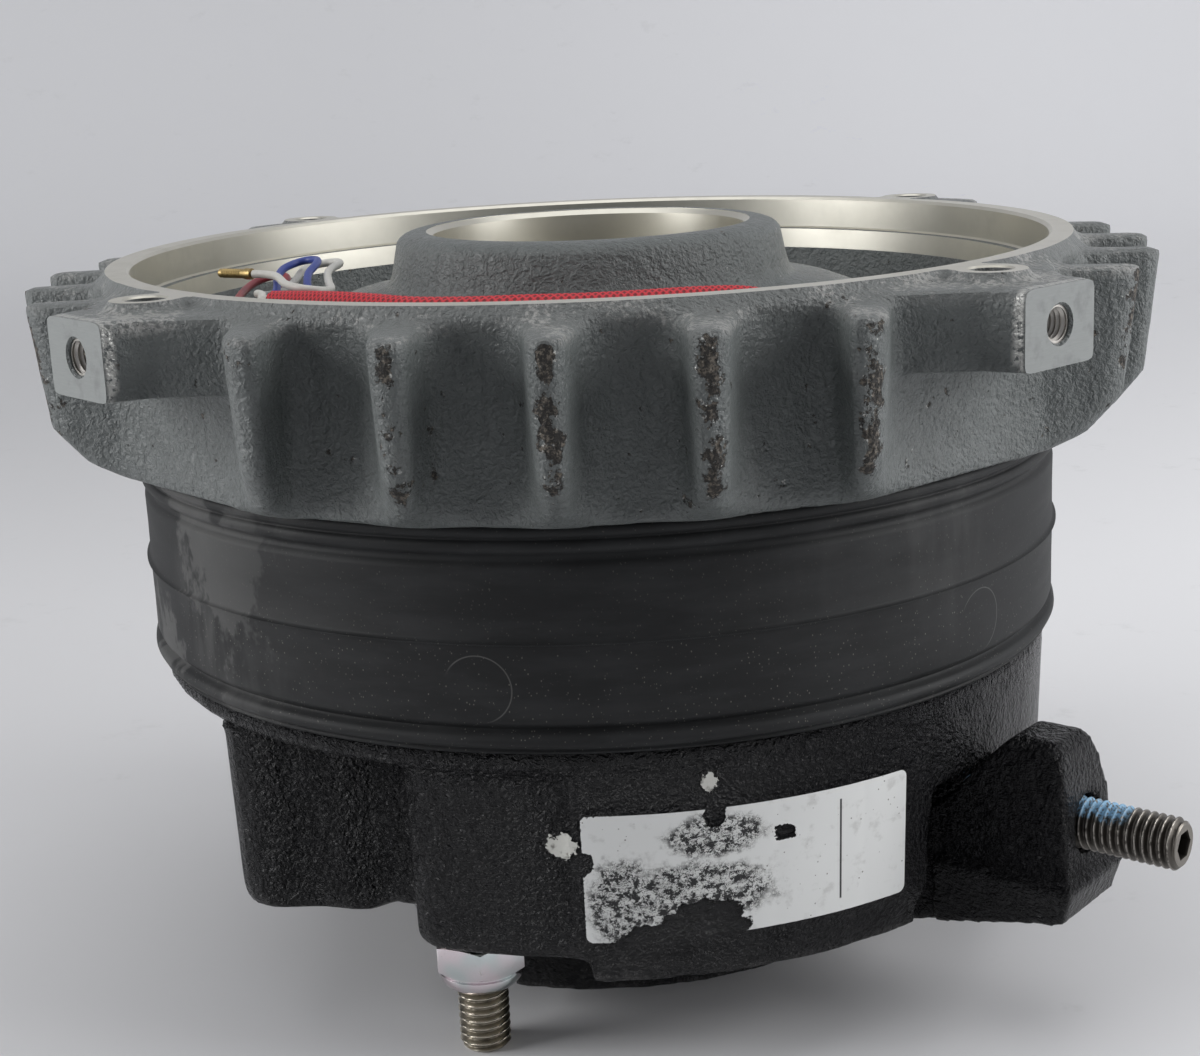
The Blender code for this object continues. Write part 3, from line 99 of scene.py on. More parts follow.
# Routes of the leads: out from the lead circle in mm, azimuth, depth below the rim in mm
SLEEVE_ROUTE = (
    (0.0, 41.0, 17.2), (0.0, 41.0, 11.2), (-0.4, 38.6, 7.6), (-2.0, 32.0, 5.8),
    (-4.6, 24.0, 5.5), (-6.4, 14.0, 5.6), (-7.2, 3.0, 5.7), (-7.2, -9.0, 5.7),
    (-6.4, -21.0, 5.9), (-5.0, -33.0, 6.0), (-3.4, -42.0, 5.7), (-1.2, -50.0, 5.6),
    (1.4, -56.5, 5.7), (4.4, -62.0, 5.9),
)
WHITE_ROUTE = (
    (5.2, -66.6, 4.7), (5.3, -71.5, 5.0), (3.6, -77.0, 6.0), (0.9, -82.5, 6.0), (-0.4, -88.0, 5.0),
    (-0.5, -94.0, 4.0), (-1.6, -97.8, 3.5), (-3.8, -99.3, 3.2), (-6.0, -97.8, 3.0),
    (-7.1, -94.0, 3.0), (-6.8, -87.0, 3.1), (-6.5, -80.0, 3.4), (-6.4, -73.5, 4.2),
    (-6.0, -67.0, 4.6), (-4.6, -62.8, 4.5), (-2.2, -61.4, 4.1), (0.0, -63.2, 3.7),
    (1.2, -67.5, 3.4), (1.4, -73.0, 3.1), (2.0, -77.6, 3.0), (3.6, -81.0, 3.0), (5.8, -82.6, 3.0),
)
BLUE_ROUTE = (
    (3.4, -69.0, 6.0), (2.2, -73.5, 5.2), (1.8, -78.0, 4.6), (1.9, -83.0, 3.9), (1.5, -88.2, 3.0),
    (-0.1, -91.8, 2.4), (-2.3, -92.2, 2.0), (-4.2, -89.4, 1.9), (-4.4, -84.0, 2.2),
    (-3.4, -78.0, 3.0), (-2.8, -72.0, 4.4), (-2.6, -67.5, 6.0), (-1.8, -63.5, 7.8),
)
RED_ROUTE = (
    (7.7, -69.5, 6.3), (8.2, -75.0, 6.2), (8.0, -81.0, 6.2), (7.6, -87.0, 5.8), (6.9, -92.0, 5.3),
    (5.1, -95.4, 4.9), (2.9, -95.4, 5.0), (1.9, -92.0, 5.8), (2.5, -87.0, 7.1),
    (3.8, -81.0, 8.7), (5.0, -75.0, 9.9), (6.0, -70.0, 10.6),
)


def length_field(label, about, size):
    return bpy.props.FloatProperty(
        name=label, description=about, default=size, min=0.0, unit="LENGTH", precision=5,
    )


def colour_field(label, about, colour):
    return bpy.props.FloatVectorProperty(
        name=label, description=about, default=colour, size=3, min=0.0, max=1.0,
        subtype="COLOR",
    )


class BrakeSizes(bpy.types.PropertyGroup):
    """Sizes of the finer shapes."""

    bore_radius: length_field("Rim bore", "Radius of the machined rim bore", 75.0 * MM)
    bearing_radius: length_field("Bearing seat", "Radius of the bearing seat", 26.0 * MM)
    lug_reach: length_field("Lug reach", "Distance from the axis to a lug's face", 94.4 * MM)
    cast_grain: length_field("Cast grain", "Grid of the endshield's cast skin", 1.03 * MM)
    body_grain: length_field("Body grain", "Grid of the coil body's cast skin", 1.0 * MM)
    lever_grain: length_field("Lever grain", "Grid of the lever's cast skin", 0.7 * MM)
    stud_radius: length_field("Stud radius", "Outside of the M8 threads", 3.9 * MM)
    coarse_pitch: length_field("M8 pitch", "Pitch of the M8 threads", 1.25 * MM)
    fine_pitch: length_field("M6 pitch", "Pitch of the M6 threads", 1.0 * MM)
    sleeve_width: length_field("Sleeve width", "Diameter of the braided sleeve", 4.6 * MM)
    lead_width: length_field("Lead width", "Diameter of a lead", 1.3 * MM)
    label_width: length_field("Label width", "Width of the label round the body", 50.0 * MM)
    label_height: length_field("Label height", "Height of the label", 19.6 * MM)


class BrakeColours(bpy.types.PropertyGroup):
    """Colours of the finishes."""

    paint: colour_field("Grey paint", "Paint of the endshield", (0.122, 0.134, 0.132))
    bare_iron: colour_field("Bare iron", "Iron where the paint is chipped", (0.050, 0.042, 0.033))
    machined: colour_field("Machined iron", "Turned faces", (0.62, 0.60, 0.53))
    black_paint: colour_field("Black paint", "Coil body and lever", (0.0045, 0.0045, 0.0054))
    scuff: colour_field("Scuffed edge", "Rubbed edges of the black castings", (0.17, 0.16, 0.15))
    rubber: colour_field("Rubber", "Sealing collar", (0.0145, 0.0151, 0.0158))
    dust: colour_field("Dust", "Dust on the rubber", (0.150, 0.150, 0.147))
    zinc: colour_field("Zinc plate", "Nuts", (0.66, 0.68, 0.70))
    stud_steel: colour_field("Stud steel", "Studs", (0.52, 0.48, 0.40))
    screw_steel: colour_field("Black oxide", "Set screw", (0.085, 0.078, 0.070))
    thread_lock: colour_field("Thread lock", "Blue patch on the set screw", (0.23, 0.43, 0.62))
    paper: colour_field("Paper", "Label", (0.74, 0.75, 0.74))
    sleeve_red: colour_field("Red braid", "Lead sleeve", (0.60, 0.022, 0.036))
    lead_white: colour_field("White lead", "White insulation", (0.60, 0.59, 0.55))
    lead_blue: colour_field("Blue lead", "Blue insulation", (0.035, 0.06, 0.28))
    lead_red: colour_field("Red lead", "Red insulation", (0.26, 0.02, 0.03))
    brass: colour_field("Ferrule", "Wire end ferrule", (0.46, 0.34, 0.15))
    floor: colour_field("Floor", "Floor and backdrop", (0.74, 0.74, 0.755))


class BrakeLights(bpy.types.PropertyGroup):
    """Strengths of the studio's lights."""

    right_panel: bpy.props.FloatProperty(
        name="Right panel", description="Soft panel at the right front", default=4.3, unit="POWER",
    )
    left_panel: bpy.props.FloatProperty(
        name="Left panel", description="Soft panel at the left", default=3.8, unit="POWER",
    )
    ceiling: bpy.props.FloatProperty(
        name="Ceiling", description="Large soft panel overhead", default=5.6, unit="POWER",
    )
    room: bpy.props.FloatProperty(
        name="Room", description="Even light of the room", default=0.27, min=0.0,
    )


def sizes():
    return bpy.context.scene.brake_sizes


def colours():
    return bpy.context.scene.brake_colours


def polar(radius, azimuth, z=0.0):
    angle = math.radians(azimuth)
    return Vector((radius * math.sin(angle), -radius * math.cos(angle), z))


def standing_at(radius, azimuth, z=0.0):
    """Carries a shape that was modelled on the Z axis to a place on a circle."""
    return Matrix.Translation(polar(radius, azimuth, z))


def pointing_out(azimuth, z, reach=0.0):
    """Carries a shape from the Z axis to a horizontal radius of the brake."""
    turn = Matrix.Rotation(math.radians(azimuth - 90.0), 4, "Z")
    tilt = Matrix.Rotation(math.radians(90.0), 4, "Y")
    return Matrix.Translation((0, 0, z)) @ turn @ tilt @ Matrix.Translation((0, 0, reach))


# Modelling helpers


def deselect():
    if bpy.context.mode != "OBJECT":
        bpy.ops.object.mode_set(mode="OBJECT")
    bpy.ops.object.select_all(action="DESELECT")


def hold(piece):
    """Makes one piece the selected and active one."""
    deselect()
    piece.select_set(True)
    bpy.context.view_layer.objects.active = piece
    return piece


def fresh(name):
    """Names the primitive that was just added."""
    piece = bpy.context.object
    piece.name = name
    piece.data.name = name
    return piece


def edit(piece, pick=None):
    """Opens a piece in edit mode with the points that pick accepts selected, or all."""
    hold(piece)
    bpy.ops.object.mode_set(mode="EDIT")
    bpy.ops.mesh.select_mode(type="VERT")
    bpy.ops.mesh.select_all(action="SELECT" if pick is None else "DESELECT")
    if pick:
        bpy.ops.object.mode_set(mode="OBJECT")
        for vertex in piece.data.vertices:
            vertex.select = pick(vertex.co)
        bpy.ops.object.mode_set(mode="EDIT")


def apply_modifier(piece, kind, **settings):
    hold(piece)
    modifier = piece.modifiers.new(kind.lower(), kind)
    for key, value in settings.items():
        setattr(modifier, key, value)
    bpy.ops.object.modifier_apply(modifier=modifier.name)
    return piece


def combine(piece, tool, operation="DIFFERENCE", solver="EXACT"):
    apply_modifier(piece, "BOOLEAN", operation=operation, object=tool, solver=solver)
    bpy.data.objects.remove(tool)
    return piece


def turned(name, profile, steps, unit=1.0):
    """Closed profile of (radius, z) in a unit of length that is spun about the Z axis."""
    deselect()
    bpy.ops.mesh.primitive_circle_add(vertices=len(profile), radius=0.01)
    piece = fresh(name)
    for vertex, (radius, z) in zip(piece.data.vertices, profile):
        vertex.co = (radius * unit, 0.0, z * unit)
    edit(piece)
    bpy.ops.mesh.spin(steps=steps, angle=math.tau, center=(0, 0, 0), axis=(0, 0, 1))
    bpy.ops.mesh.select_all(action="SELECT")
    bpy.ops.mesh.remove_doubles(threshold=1e-6)
    bpy.ops.mesh.dissolve_degenerate(threshold=1e-7)
    bpy.ops.mesh.normals_make_consistent(inside=False)
    deselect()
    return piece


def joined(name, pieces):
    deselect()
    for piece in pieces:
        piece.select_set(True)
    bpy.context.view_layer.objects.active = pieces[0]
    if len(pieces) > 1:
        bpy.ops.object.join()
    return fresh(name)


def placed(piece, matrix):
    """Carries a piece's mesh to its place and leaves its object at the origin."""
    piece.data.transform(matrix)
    return piece


def copies(piece, matrices):
    """One copy of a shape at each place, each with its own mesh."""
    made = []
    for number, matrix in enumerate(matrices, 1):
        hold(piece)
        bpy.ops.object.duplicate()
        twin = fresh(f"{piece.name.split('.')[0]}_{number}")
        made.append(placed(twin, matrix))
    bpy.data.objects.remove(piece)
    return made


def copy_of_node(node, name):
    """A merged copy of a frame solid's mesh, to be reshaped."""
    piece = bpy.data.objects.new(name, NODES[node].data.copy())
    piece.data.materials.clear()
    bpy.context.scene.collection.objects.link(piece)
    edit(piece)
    bpy.ops.mesh.customdata_custom_splitnormals_clear()
    bpy.ops.mesh.remove_doubles(threshold=2e-6)
    deselect()
    return piece


def cast(piece, grain, rounds):
    """Gives a piece the soft corners of a casting."""
    apply_modifier(piece, "REMESH", mode="VOXEL", voxel_size=grain)
    apply_modifier(piece, "SMOOTH", factor=0.5, iterations=rounds)
    return piece


def smooth_shaded(piece, angle=35.0):
    hold(piece)
    bpy.ops.object.shade_smooth_by_angle(angle=math.radians(angle))
    return piece


def ramp(values, width):
    """Rises from 0 at 0 to 1 at the width."""
    return np.clip(values / width, 0.0, 1.0)


def points_of(mesh, field="co"):
    """Rows of x, y and z of a mesh's points, or of their normals."""
    values = np.empty(len(mesh.vertices) * 3)
    mesh.vertices.foreach_get(field, values)
    return values.reshape(-1, 3)


def store(mesh, name, values):
    """Keeps one number for each point as an attribute that a finish reads."""
    stored = mesh.attributes.new(name, "FLOAT", "POINT")
    stored.data.foreach_set("value", np.asarray(values, dtype=np.float32))


def move_points(mesh, points):
    mesh.vertices.foreach_set("co", points.ravel())
    mesh.update()


def mark_edges(piece, reach, rounds=5):
    """Stores how far each point stands proud of its surroundings as the attribute edge."""
    mesh = piece.data
    count = len(mesh.vertices)
    points, normals = points_of(mesh), points_of(mesh, "normal")
    ends = np.empty(len(mesh.edges) * 2, dtype=np.int64)
    mesh.edges.foreach_get("vertices", ends)
    first, second = ends.reshape(-1, 2).T
    share = np.bincount(first, minlength=count) + np.bincount(second, minlength=count)
    smooth = points.copy()
    for _ in range(rounds):
        total = np.empty_like(smooth)
        for axis in range(3):
            total[:, axis] = np.bincount(first, smooth[second, axis], count)
            total[:, axis] += np.bincount(second, smooth[first, axis], count)
        smooth = total / np.maximum(share, 1)[:, None]
    store(mesh, "edge", ramp(((points - smooth) * normals).sum(axis=1), reach))


def paint_faces(piece, materials, choose):
    """Gives each face the material that choose picks from its centre and normal."""
    piece.data.materials.clear()
    for finish in materials:
        piece.data.materials.append(finish)
    for face in piece.data.polygons:
        face.material_index = choose(face.center, face.normal)


def finished(piece, body, nodes=(), finish=None):
    """Hangs a finished piece on its body, in the place of the frame's solids."""
    if finish:
        piece.data.materials.clear()
        piece.data.materials.append(finish)
    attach(piece, body)
    if nodes:
        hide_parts(*nodes)
    return piece


def ring_of(piece, circle, azimuths, height, body, node, finish):
    """Puts a copy of a piece at each azimuth, in the place of its numbered node."""
    places = [standing_at(circle, azimuth, height) for azimuth in azimuths]
    for number, made in enumerate(copies(piece, places), 1):
        finished(made, body, [f"{node}_{number}"], Finishes.get(finish))


# Shader helpers


class Shading:
    """Adds and links nodes in one node tree."""

    def __init__(self, tree):
        self.tree = tree

    def node(self, kind, inputs=None, **settings):
        made = self.tree.nodes.new("ShaderNode" + kind)
        for key, value in settings.items():
            setattr(made, key, value)
        for key, value in (inputs or {}).items():
            self.feed(made.inputs[key], value)
        return made

    def feed(self, socket, value):
        if isinstance(value, bpy.types.NodeSocket):
            self.tree.links.new(value, socket)
        else:
            socket.default_value = value

    def math(self, operation, a, b=0.0, c=0.0, clamp=False):
        made = self.node("Math", {0: a, 1: b, 2: c}, operation=operation, use_clamp=clamp)
        return made.outputs[0]

    def times(self, a, b, clamp=False):
        return self.math("MULTIPLY", a, b, clamp=clamp)

    def plus(self, a, b):
        return self.math("ADD", a, b)

    def minus(self, a, b):
        return self.math("SUBTRACT", a, b)

    def most(self, a, b):
        return self.math("MAXIMUM", a, b)

    def least(self, a, b):
        return self.math("MINIMUM", a, b)

    def linear(self, a, factor, offset, clamp=False):
        """a times factor, plus offset."""
        return self.math("MULTIPLY_ADD", a, factor, offset, clamp)

    def mix(self, share, a, b):
        made = self.node("Mix", data_type="RGBA")
        self.feed(made.inputs["Factor"], share)
        self.feed(made.inputs[6], rgba(a))
        self.feed(made.inputs[7], rgba(b))
        return made.outputs[2]

    def blend(self, share, a, b):
        """A number between a and b."""
        return self.node("MapRange", {0: share, 1: 0.0, 2: 1.0, 3: a, 4: b}).outputs[0]

    def step(self, value, low, high):
        """0 below low and 1 above high, with a smooth passage."""
        made = self.node(
            "MapRange", {0: value, 1: low, 2: high, 3: 0.0, 4: 1.0},
            interpolation_type="SMOOTHSTEP",
        )
        return made.outputs[0]

    def noise(self, place, scale, detail=2.0, rough=0.5):
        inputs = {"Vector": place, "Scale": scale, "Detail": detail, "Roughness": rough}
        return self.node("TexNoise", inputs).outputs[0]

    def cells(self, place, scale, randomness=1.0):
        inputs = {"Vector": place, "Scale": scale, "Randomness": randomness}
        return self.node("TexVoronoi", inputs).outputs[0]

    def parts(self, place):
        return self.node("SeparateXYZ", {0: place}).outputs

    def vector(self, x, y, z):
        return self.node("CombineXYZ", {0: x, 1: y, 2: z}).outputs[0]

    def distance(self, x, y):
        """Length of the vector (x, y)."""
        flat = self.vector(x, y, 0.0)
        return self.node("VectorMath", {0: flat}, operation="LENGTH").outputs["Value"]

    def vectors(self, operation, a, b):
        return self.node("VectorMath", {0: a, 1: b}, operation=operation).outputs[0]

    def stretched(self, place, scale):
        return self.vectors("MULTIPLY", place, scale)

    def near(self, value, middle, wide, narrow):
        """1 close to the middle, and 0 beyond the wide distance from it."""
        return self.step(self.math("ABSOLUTE", self.minus(value, middle)), wide, narrow)

    def effect(self, name, place, **values):
        """Outputs of one of the shared effects, laid at a place."""
        made = self.node("Group")
        made.node_tree = Finishes.get(name)
        for key, value in {"Vector": place, **values}.items():
            self.feed(made.inputs[key], value)
        return made.outputs

    def object_place(self):
        return self.node("TexCoord").outputs["Object"]

    def attribute(self, name):
        return self.node("Attribute", attribute_name=name).outputs["Fac"]


def rgba(colour):
    if isinstance(colour, bpy.types.NodeSocket):
        return colour
    return (*tuple(colour)[:3], 1.0)


def tint(colour, factor):
    return tuple(v * factor for v in colour)


def new_effect(name, inputs, outputs):
    """An empty shader node group with named sockets."""
    tree = bpy.data.node_groups.new(name, "ShaderNodeTree")
    kinds = {"vector": "NodeSocketVector", "value": "NodeSocketFloat"}
    for label, kind, default in inputs:
        made = tree.interface.new_socket(label, in_out="INPUT", socket_type=kinds[kind])
        if default is not None:
            made.default_value = default
    for label, kind in outputs:
        tree.interface.new_socket(label, in_out="OUTPUT", socket_type=kinds[kind])
    entry, exit_ = tree.nodes.new("NodeGroupInput"), tree.nodes.new("NodeGroupOutput")
    return tree, Shading(tree), entry.outputs, exit_.inputs


def cast_skin_effect():
    """Orange peel of a painted casting, with coarser lumps under it."""
    tree, s, given, out = new_effect(
        "cast_skin",
        [("Vector", "vector", None), ("Grain", "value", 900.0), ("Lumps", "value", 0.4)],
        [("Height", "value"), ("Mottle", "value")],
    )
    place = given["Vector"]
    warp = s.noise(place, s.times(given["Grain"], 0.5), 1.0)
    shift = s.vector(s.times(warp, 1.6 * MM), s.times(warp, -1.2 * MM), 0.0)
    bent = s.vectors("ADD", place, shift)
    fine = s.noise(bent, given["Grain"], 3.0, 0.55)
    pits = s.step(s.noise(place, s.times(given["Grain"], 1.9), 1.0), 0.62, 0.8)
    coarse = s.noise(place, s.times(given["Grain"], 0.2), 2.0)
    height = s.linear(given["Lumps"], coarse, fine)
    s.feed(out["Height"], s.minus(height, s.times(pits, 0.25)))
    s.feed(out["Mottle"], s.step(coarse, 0.35, 0.68))
    return tree


def chipped_effect():
    """Rubbed and chipped places along the edges of a casting."""
    tree, s, given, out = new_effect(
        "chipped_edges",
        [("Vector", "vector", None), ("Edge", "value", 0.0), ("Amount", "value", 0.5)],
        [("Rubbed", "value"), ("Chipped", "value"), ("Glint", "value")],
    )
    place = given["Vector"]
    patches = s.noise(place, 130.0, 2.0, 0.6)
    ragged = s.noise(place, 950.0, 4.0, 0.65)
    grit = s.noise(place, 2600.0, 2.0, 0.6)
    drive = s.times(given["Edge"], s.linear(patches, 1.6, given["Amount"]))
    level = s.plus(drive, s.linear(ragged, 0.9, -0.45))
    s.feed(out["Rubbed"], s.step(level, 0.30, 0.75))
    s.feed(out["Chipped"], s.step(level, 0.92, 1.02))
    s.feed(out["Glint"], s.times(s.step(level, 0.8, 0.95), s.step(grit, 0.56, 0.66)))
    return tree


def dust_effect():
    """Broad smears and fine specks of dust."""
    tree, s, given, out = new_effect(
        "dust",
        [("Vector", "vector", None), ("Smears", "value", 0.5), ("Specks", "value", 0.5)],
        [("Smear", "value"), ("Speck", "value")],
    )
    place = given["Vector"]
    broad = s.noise(s.stretched(place, (1.0, 1.0, 0.7)), 34.0, 3.0, 0.55)
    streaks = s.noise(s.stretched(place, (1.0, 1.0, 0.25)), 210.0, 3.0, 0.6)
    smear = s.times(s.step(broad, 0.52, 0.74), s.step(streaks, 0.30, 0.72))
    s.feed(out["Smear"], s.times(smear, given["Smears"], clamp=True))
    flecks = s.step(s.cells(s.stretched(place, (1.0, 1.0, 0.7)), 1900.0), 0.22, 0.12)
    where = s.step(s.noise(place, 60.0, 2.0), 0.26, 0.52)
    size = s.step(s.noise(place, 1400.0, 0.0), 0.46, 0.60)
    speck = s.times(s.times(flecks, size), where)
    s.feed(out["Speck"], s.times(speck, given["Specks"], clamp=True))
    return tree


def turning_effect():
    """Fine rings that a lathe leaves round the Z axis, and faint stains."""
    tree, s, given, out = new_effect(
        "turning_marks",
        [("Vector", "vector", None), ("Rings", "value", 5200.0)],
        [("Height", "value"), ("Stain", "value")],
    )
    x, y, z = s.parts(given["Vector"])
    radius = s.distance(x, y)
    along = s.plus(radius, z)
    rings = s.noise(s.vector(s.times(along, given["Rings"]), 0.0, 0.0), 1.0, 2.0, 0.7)
    s.feed(out["Height"], rings)
    s.feed(out["Stain"], s.step(s.noise(given["Vector"], 60.0, 4.0, 0.65), 0.42, 0.78))
    return tree


class Surface(Shading):
    """A new material and the nodes that feed its shader."""

    def __init__(self, name, colour, rough, metallic=0.0):
        self.made = bpy.data.materials.new(name)
        self.made.use_nodes = True
        self.made.diffuse_color = rgba(colour)
        super().__init__(self.made.node_tree)
        self.shade("Base Color", rgba(colour))
        self.shade("Roughness", rough)
        self.shade("Metallic", metallic)

    def shade(self, socket, value):
        self.feed(self.tree.nodes["Principled BSDF"].inputs[socket], value)

    def bump(self, height, strength, depth):
        made = self.node("Bump", {"Height": height, "Strength": strength, "Distance": depth})
        self.shade("Normal", made.outputs[0])


# Finishes


class Finishes:
    """Each finish is made once, when a piece first asks for it."""

    made = {}
    effects = {
        "cast_skin": cast_skin_effect, "chipped": chipped_effect, "dust": dust_effect,
        "turning": turning_effect,
    }
    # Base colour and roughness
    metals = {
        "plain_steel": ((0.46, 0.44, 0.41), 0.36),
        "stainless": ((0.60, 0.59, 0.57), 0.28),
        "spring_steel": ((0.33, 0.32, 0.31), 0.38),
    }
    # Material, base colour, roughness and grain
    pressed = {
        "lining": ("friction_lining", (0.10, 0.075, 0.055), 0.85, 1400.0),
        "damping": ("damping_sheet", (0.05, 0.05, 0.055), 0.7, 900.0),
        "resin": ("cast_resin", (0.045, 0.06, 0.045), 0.45, 500.0),
    }

    @classmethod
    def get(cls, name):
        if name not in cls.made:
            cls.made[name] = cls.make(name)
        return cls.made[name]

    @classmethod
    def make(cls, name):
        if name in cls.effects:
            return cls.effects[name]()
        if name in cls.metals:
            return cls.metal(name, *cls.metals[name])
        if name == "brass":
            return cls.metal(name, tuple(colours().brass), 0.42, 1800.0, 0.4)
        if name in cls.pressed:
            return cls.matt(*cls.pressed[name])
        if name.endswith("_lead"):
            colour = getattr(colours(), "lead_" + name.removesuffix("_lead"))
            return cls.insulation(name.replace("lead", "insulation"), tuple(colour))
        return getattr(cls, name)()

    @staticmethod
    def grey_paint():
        c = colours()
        s = Surface("painted_iron", c.paint, 0.36)
        place = s.object_place()
        x, y, z = s.parts(place)
        radius = s.distance(x, y)
        skin = s.effect("cast_skin", place, Grain=1300.0, Lumps=0.9)
        outside = s.step(radius, 0.0765, 0.0775)
        edge = s.times(s.attribute("edge"), outside)
        wear = s.effect("chipped", place, Edge=edge, Amount=-0.55)
        ragged = s.noise(place, 1300.0, 5.0, 0.70)
        coarse = s.noise(place, 330.0, 2.0, 0.5)
        level = s.plus(s.times(s.attribute("chips"), 1.05), s.linear(ragged, 1.7, -0.85))
        level = s.plus(level, s.linear(coarse, 2.6, -1.3))
        chipped = s.most(s.step(level, 0.60, 0.68), s.times(wear["Chipped"], 0.8))
        rim_of_chip = s.times(s.step(level, 0.44, 0.60), s.step(level, 0.86, 0.66))
        bright = s.times(rim_of_chip, s.step(s.noise(place, 1700.0, 2.0), 0.60, 0.70))
        band = s.times(s.step(z, RIM - 4.6 * MM, RIM - 2.0 * MM), outside)
        scuffs = s.times(s.noise(place, 1300.0, 4.0, 0.7), s.noise(place, 90.0, 2.0))
        scuffs = s.times(band, s.step(scuffs, 0.27, 0.36))
        bright = s.most(bright, s.times(wear["Glint"], 0.9))
        bright = s.most(bright, s.times(s.attribute("sharp"), s.step(ragged, 0.40, 0.48)))
        dusty = s.effect("dust", place, Smears=0.3, Specks=0.25)
        paint = s.mix(s.times(skin["Mottle"], 0.4), c.paint, tint(c.paint, 0.78))
        paint = s.mix(s.times(band, 0.35), paint, (0.20, 0.205, 0.20))
        paint = s.mix(s.times(wear["Rubbed"], 0.30), paint, (0.20, 0.205, 0.20))
        paint = s.mix(s.times(scuffs, 0.55), paint, (0.46, 0.45, 0.43))
        paint = s.mix(dusty["Smear"], paint, (0.15, 0.15, 0.145))
        rust = s.step(s.noise(place, 1500.0, 3.0, 0.7), 0.46, 0.66)
        iron = s.mix(rust, tint(c.bare_iron, 0.22), (0.15, 0.13, 0.105))
        paint = s.mix(chipped, paint, iron)
        paint = s.mix(bright, paint, (0.46, 0.46, 0.44))
        s.shade("Base Color", paint)
        rough = s.blend(chipped, s.blend(skin["Height"], 0.30, 0.46), 0.70)
        s.shade("Roughness", s.blend(bright, rough, 0.3))
        s.shade("Metallic", s.times(bright, 0.8))
        height = s.minus(skin["Height"], s.times(chipped, 0.8))
        s.bump(height, 1.0, 0.60 * MM)
        return s.made

    @staticmethod
    def machined_iron():
        c = colours()
        s = Surface("machined_iron", c.machined, 0.38, 1.0)
        place = s.object_place()
        marks = s.effect("turning", place, Rings=5200.0)
        colour = s.mix(s.times(marks["Stain"], 0.5), c.machined, tint(c.machined, 0.72))
        s.shade("Base Color", colour)
        s.shade("Roughness", s.blend(marks["Stain"], 0.34, 0.46))
        s.bump(marks["Height"], 0.3, 0.03 * MM)
        return s.made

    @staticmethod
    def milled_paint():
        s = Surface("milled_face", (0.27, 0.285, 0.28), 0.5)
        place = s.object_place()
        lines = s.noise(s.stretched(place, (500.0, 500.0, 5200.0)), 1.0, 2.0, 0.6)
        stains = s.noise(place, 320.0, 3.0, 0.6)
        colour = s.mix(s.step(stains, 0.5, 0.75), (0.27, 0.285, 0.28), (0.20, 0.21, 0.208))
        s.shade("Base Color", s.mix(s.times(lines, 0.35), colour, (0.16, 0.17, 0.168)))
        s.shade("Roughness", s.blend(lines, 0.46, 0.6))
        s.bump(lines, 0.3, 0.03 * MM)
        return s.made

    @staticmethod
    def black_cast():
        c = colours()
        s = Surface("black_iron", c.black_paint, 0.36)
        s.shade("Specular IOR Level", 0.23)
        place = s.object_place()
        z = s.parts(place)[2]
        skin = s.effect("cast_skin", place, Grain=1300.0, Lumps=0.8)
        low = s.step(z, BODY_LOW + 0.006, BODY_LOW - 0.002)
        amount = s.linear(low, 0.68, -0.95)
        wear = s.effect("chipped", place, Edge=s.attribute("edge"), Amount=amount)
        dusty = s.effect("dust", place, Smears=0.15, Specks=0.16)
        colour = s.mix(s.times(skin["Mottle"], 0.5), c.black_paint, tint(c.black_paint, 1.5))
        rubbed = s.times(wear["Rubbed"], s.step(skin["Height"], 0.62, 0.95))
        colour = s.mix(s.times(rubbed, 0.35), colour, (0.085, 0.082, 0.08))
        bare = s.mix(s.noise(place, 1700.0, 2.0), c.scuff, (0.045, 0.035, 0.028))
        colour = s.mix(wear["Chipped"], colour, bare)
        colour = s.mix(s.times(dusty["Smear"], 0.4), colour, (0.05, 0.05, 0.05))
        colour = s.mix(dusty["Speck"], colour, (0.30, 0.29, 0.28))
        s.shade("Base Color", colour)
        rough = s.blend(skin["Height"], 0.34, 0.17)
        rough = s.blend(s.most(wear["Chipped"], dusty["Speck"]), rough, 0.7)
        s.shade("Roughness", rough)
        height = s.minus(skin["Height"], s.times(wear["Chipped"], 0.4))
        s.bump(height, 1.0, 1.7 * MM)
        return s.made

    @staticmethod
    def rubber():
        c = colours()
        s = Surface("rubber", c.rubber, 0.5)
        s.shade("Specular IOR Level", 0.21)
        place = s.object_place()
        x, y, z = s.parts(place)
        turn = s.math("ARCTAN2", x, s.times(y, -1.0))
        dusty = s.effect("dust", place, Smears=0.85, Specks=1.0)
        arc = s.times(turn, COLLAR_RADIUS)
        left = s.times(s.step(turn, -0.45, -0.85), s.step(turn, -1.6, -1.1))
        right = s.times(s.step(turn, 0.25, 0.75), s.step(turn, 1.5, 1.1))
        smear = s.times(dusty["Smear"], s.most(left, s.linear(right, 0.4, 0.04)))
        flow = s.noise(s.vector(s.times(arc, 60.0), s.times(z, 260.0), 0.0), 1.0, 4.0, 0.6)
        colour = s.mix(s.step(flow, 0.35, 0.75), c.rubber, tint(c.rubber, 1.75))
        cloud = s.noise(s.vector(s.times(arc, 62.0), s.times(z, 44.0), 3.0), 1.0, 5.0, 0.66)
        cloud = s.times(s.step(cloud, 0.51, 0.57), s.times(left, 0.42))
        colour = s.mix(cloud, colour, c.dust)
        colour = s.mix(s.times(smear, 0.5), colour, c.dust)
        marks = None
        for azimuth, height, strength in MOULD_MARKS:
            across = s.minus(arc, math.radians(azimuth) * COLLAR_RADIUS)
            up = s.minus(z, height * MM)
            thin = s.near(s.distance(across, up), 4.9 * MM, 0.14 * MM, 0.05 * MM)
            part = s.step(s.plus(across, s.times(up, 0.8)), -3.5 * MM, 0.5 * MM)
            mark = s.times(s.times(thin, part), strength)
            marks = mark if marks is None else s.most(marks, mark)
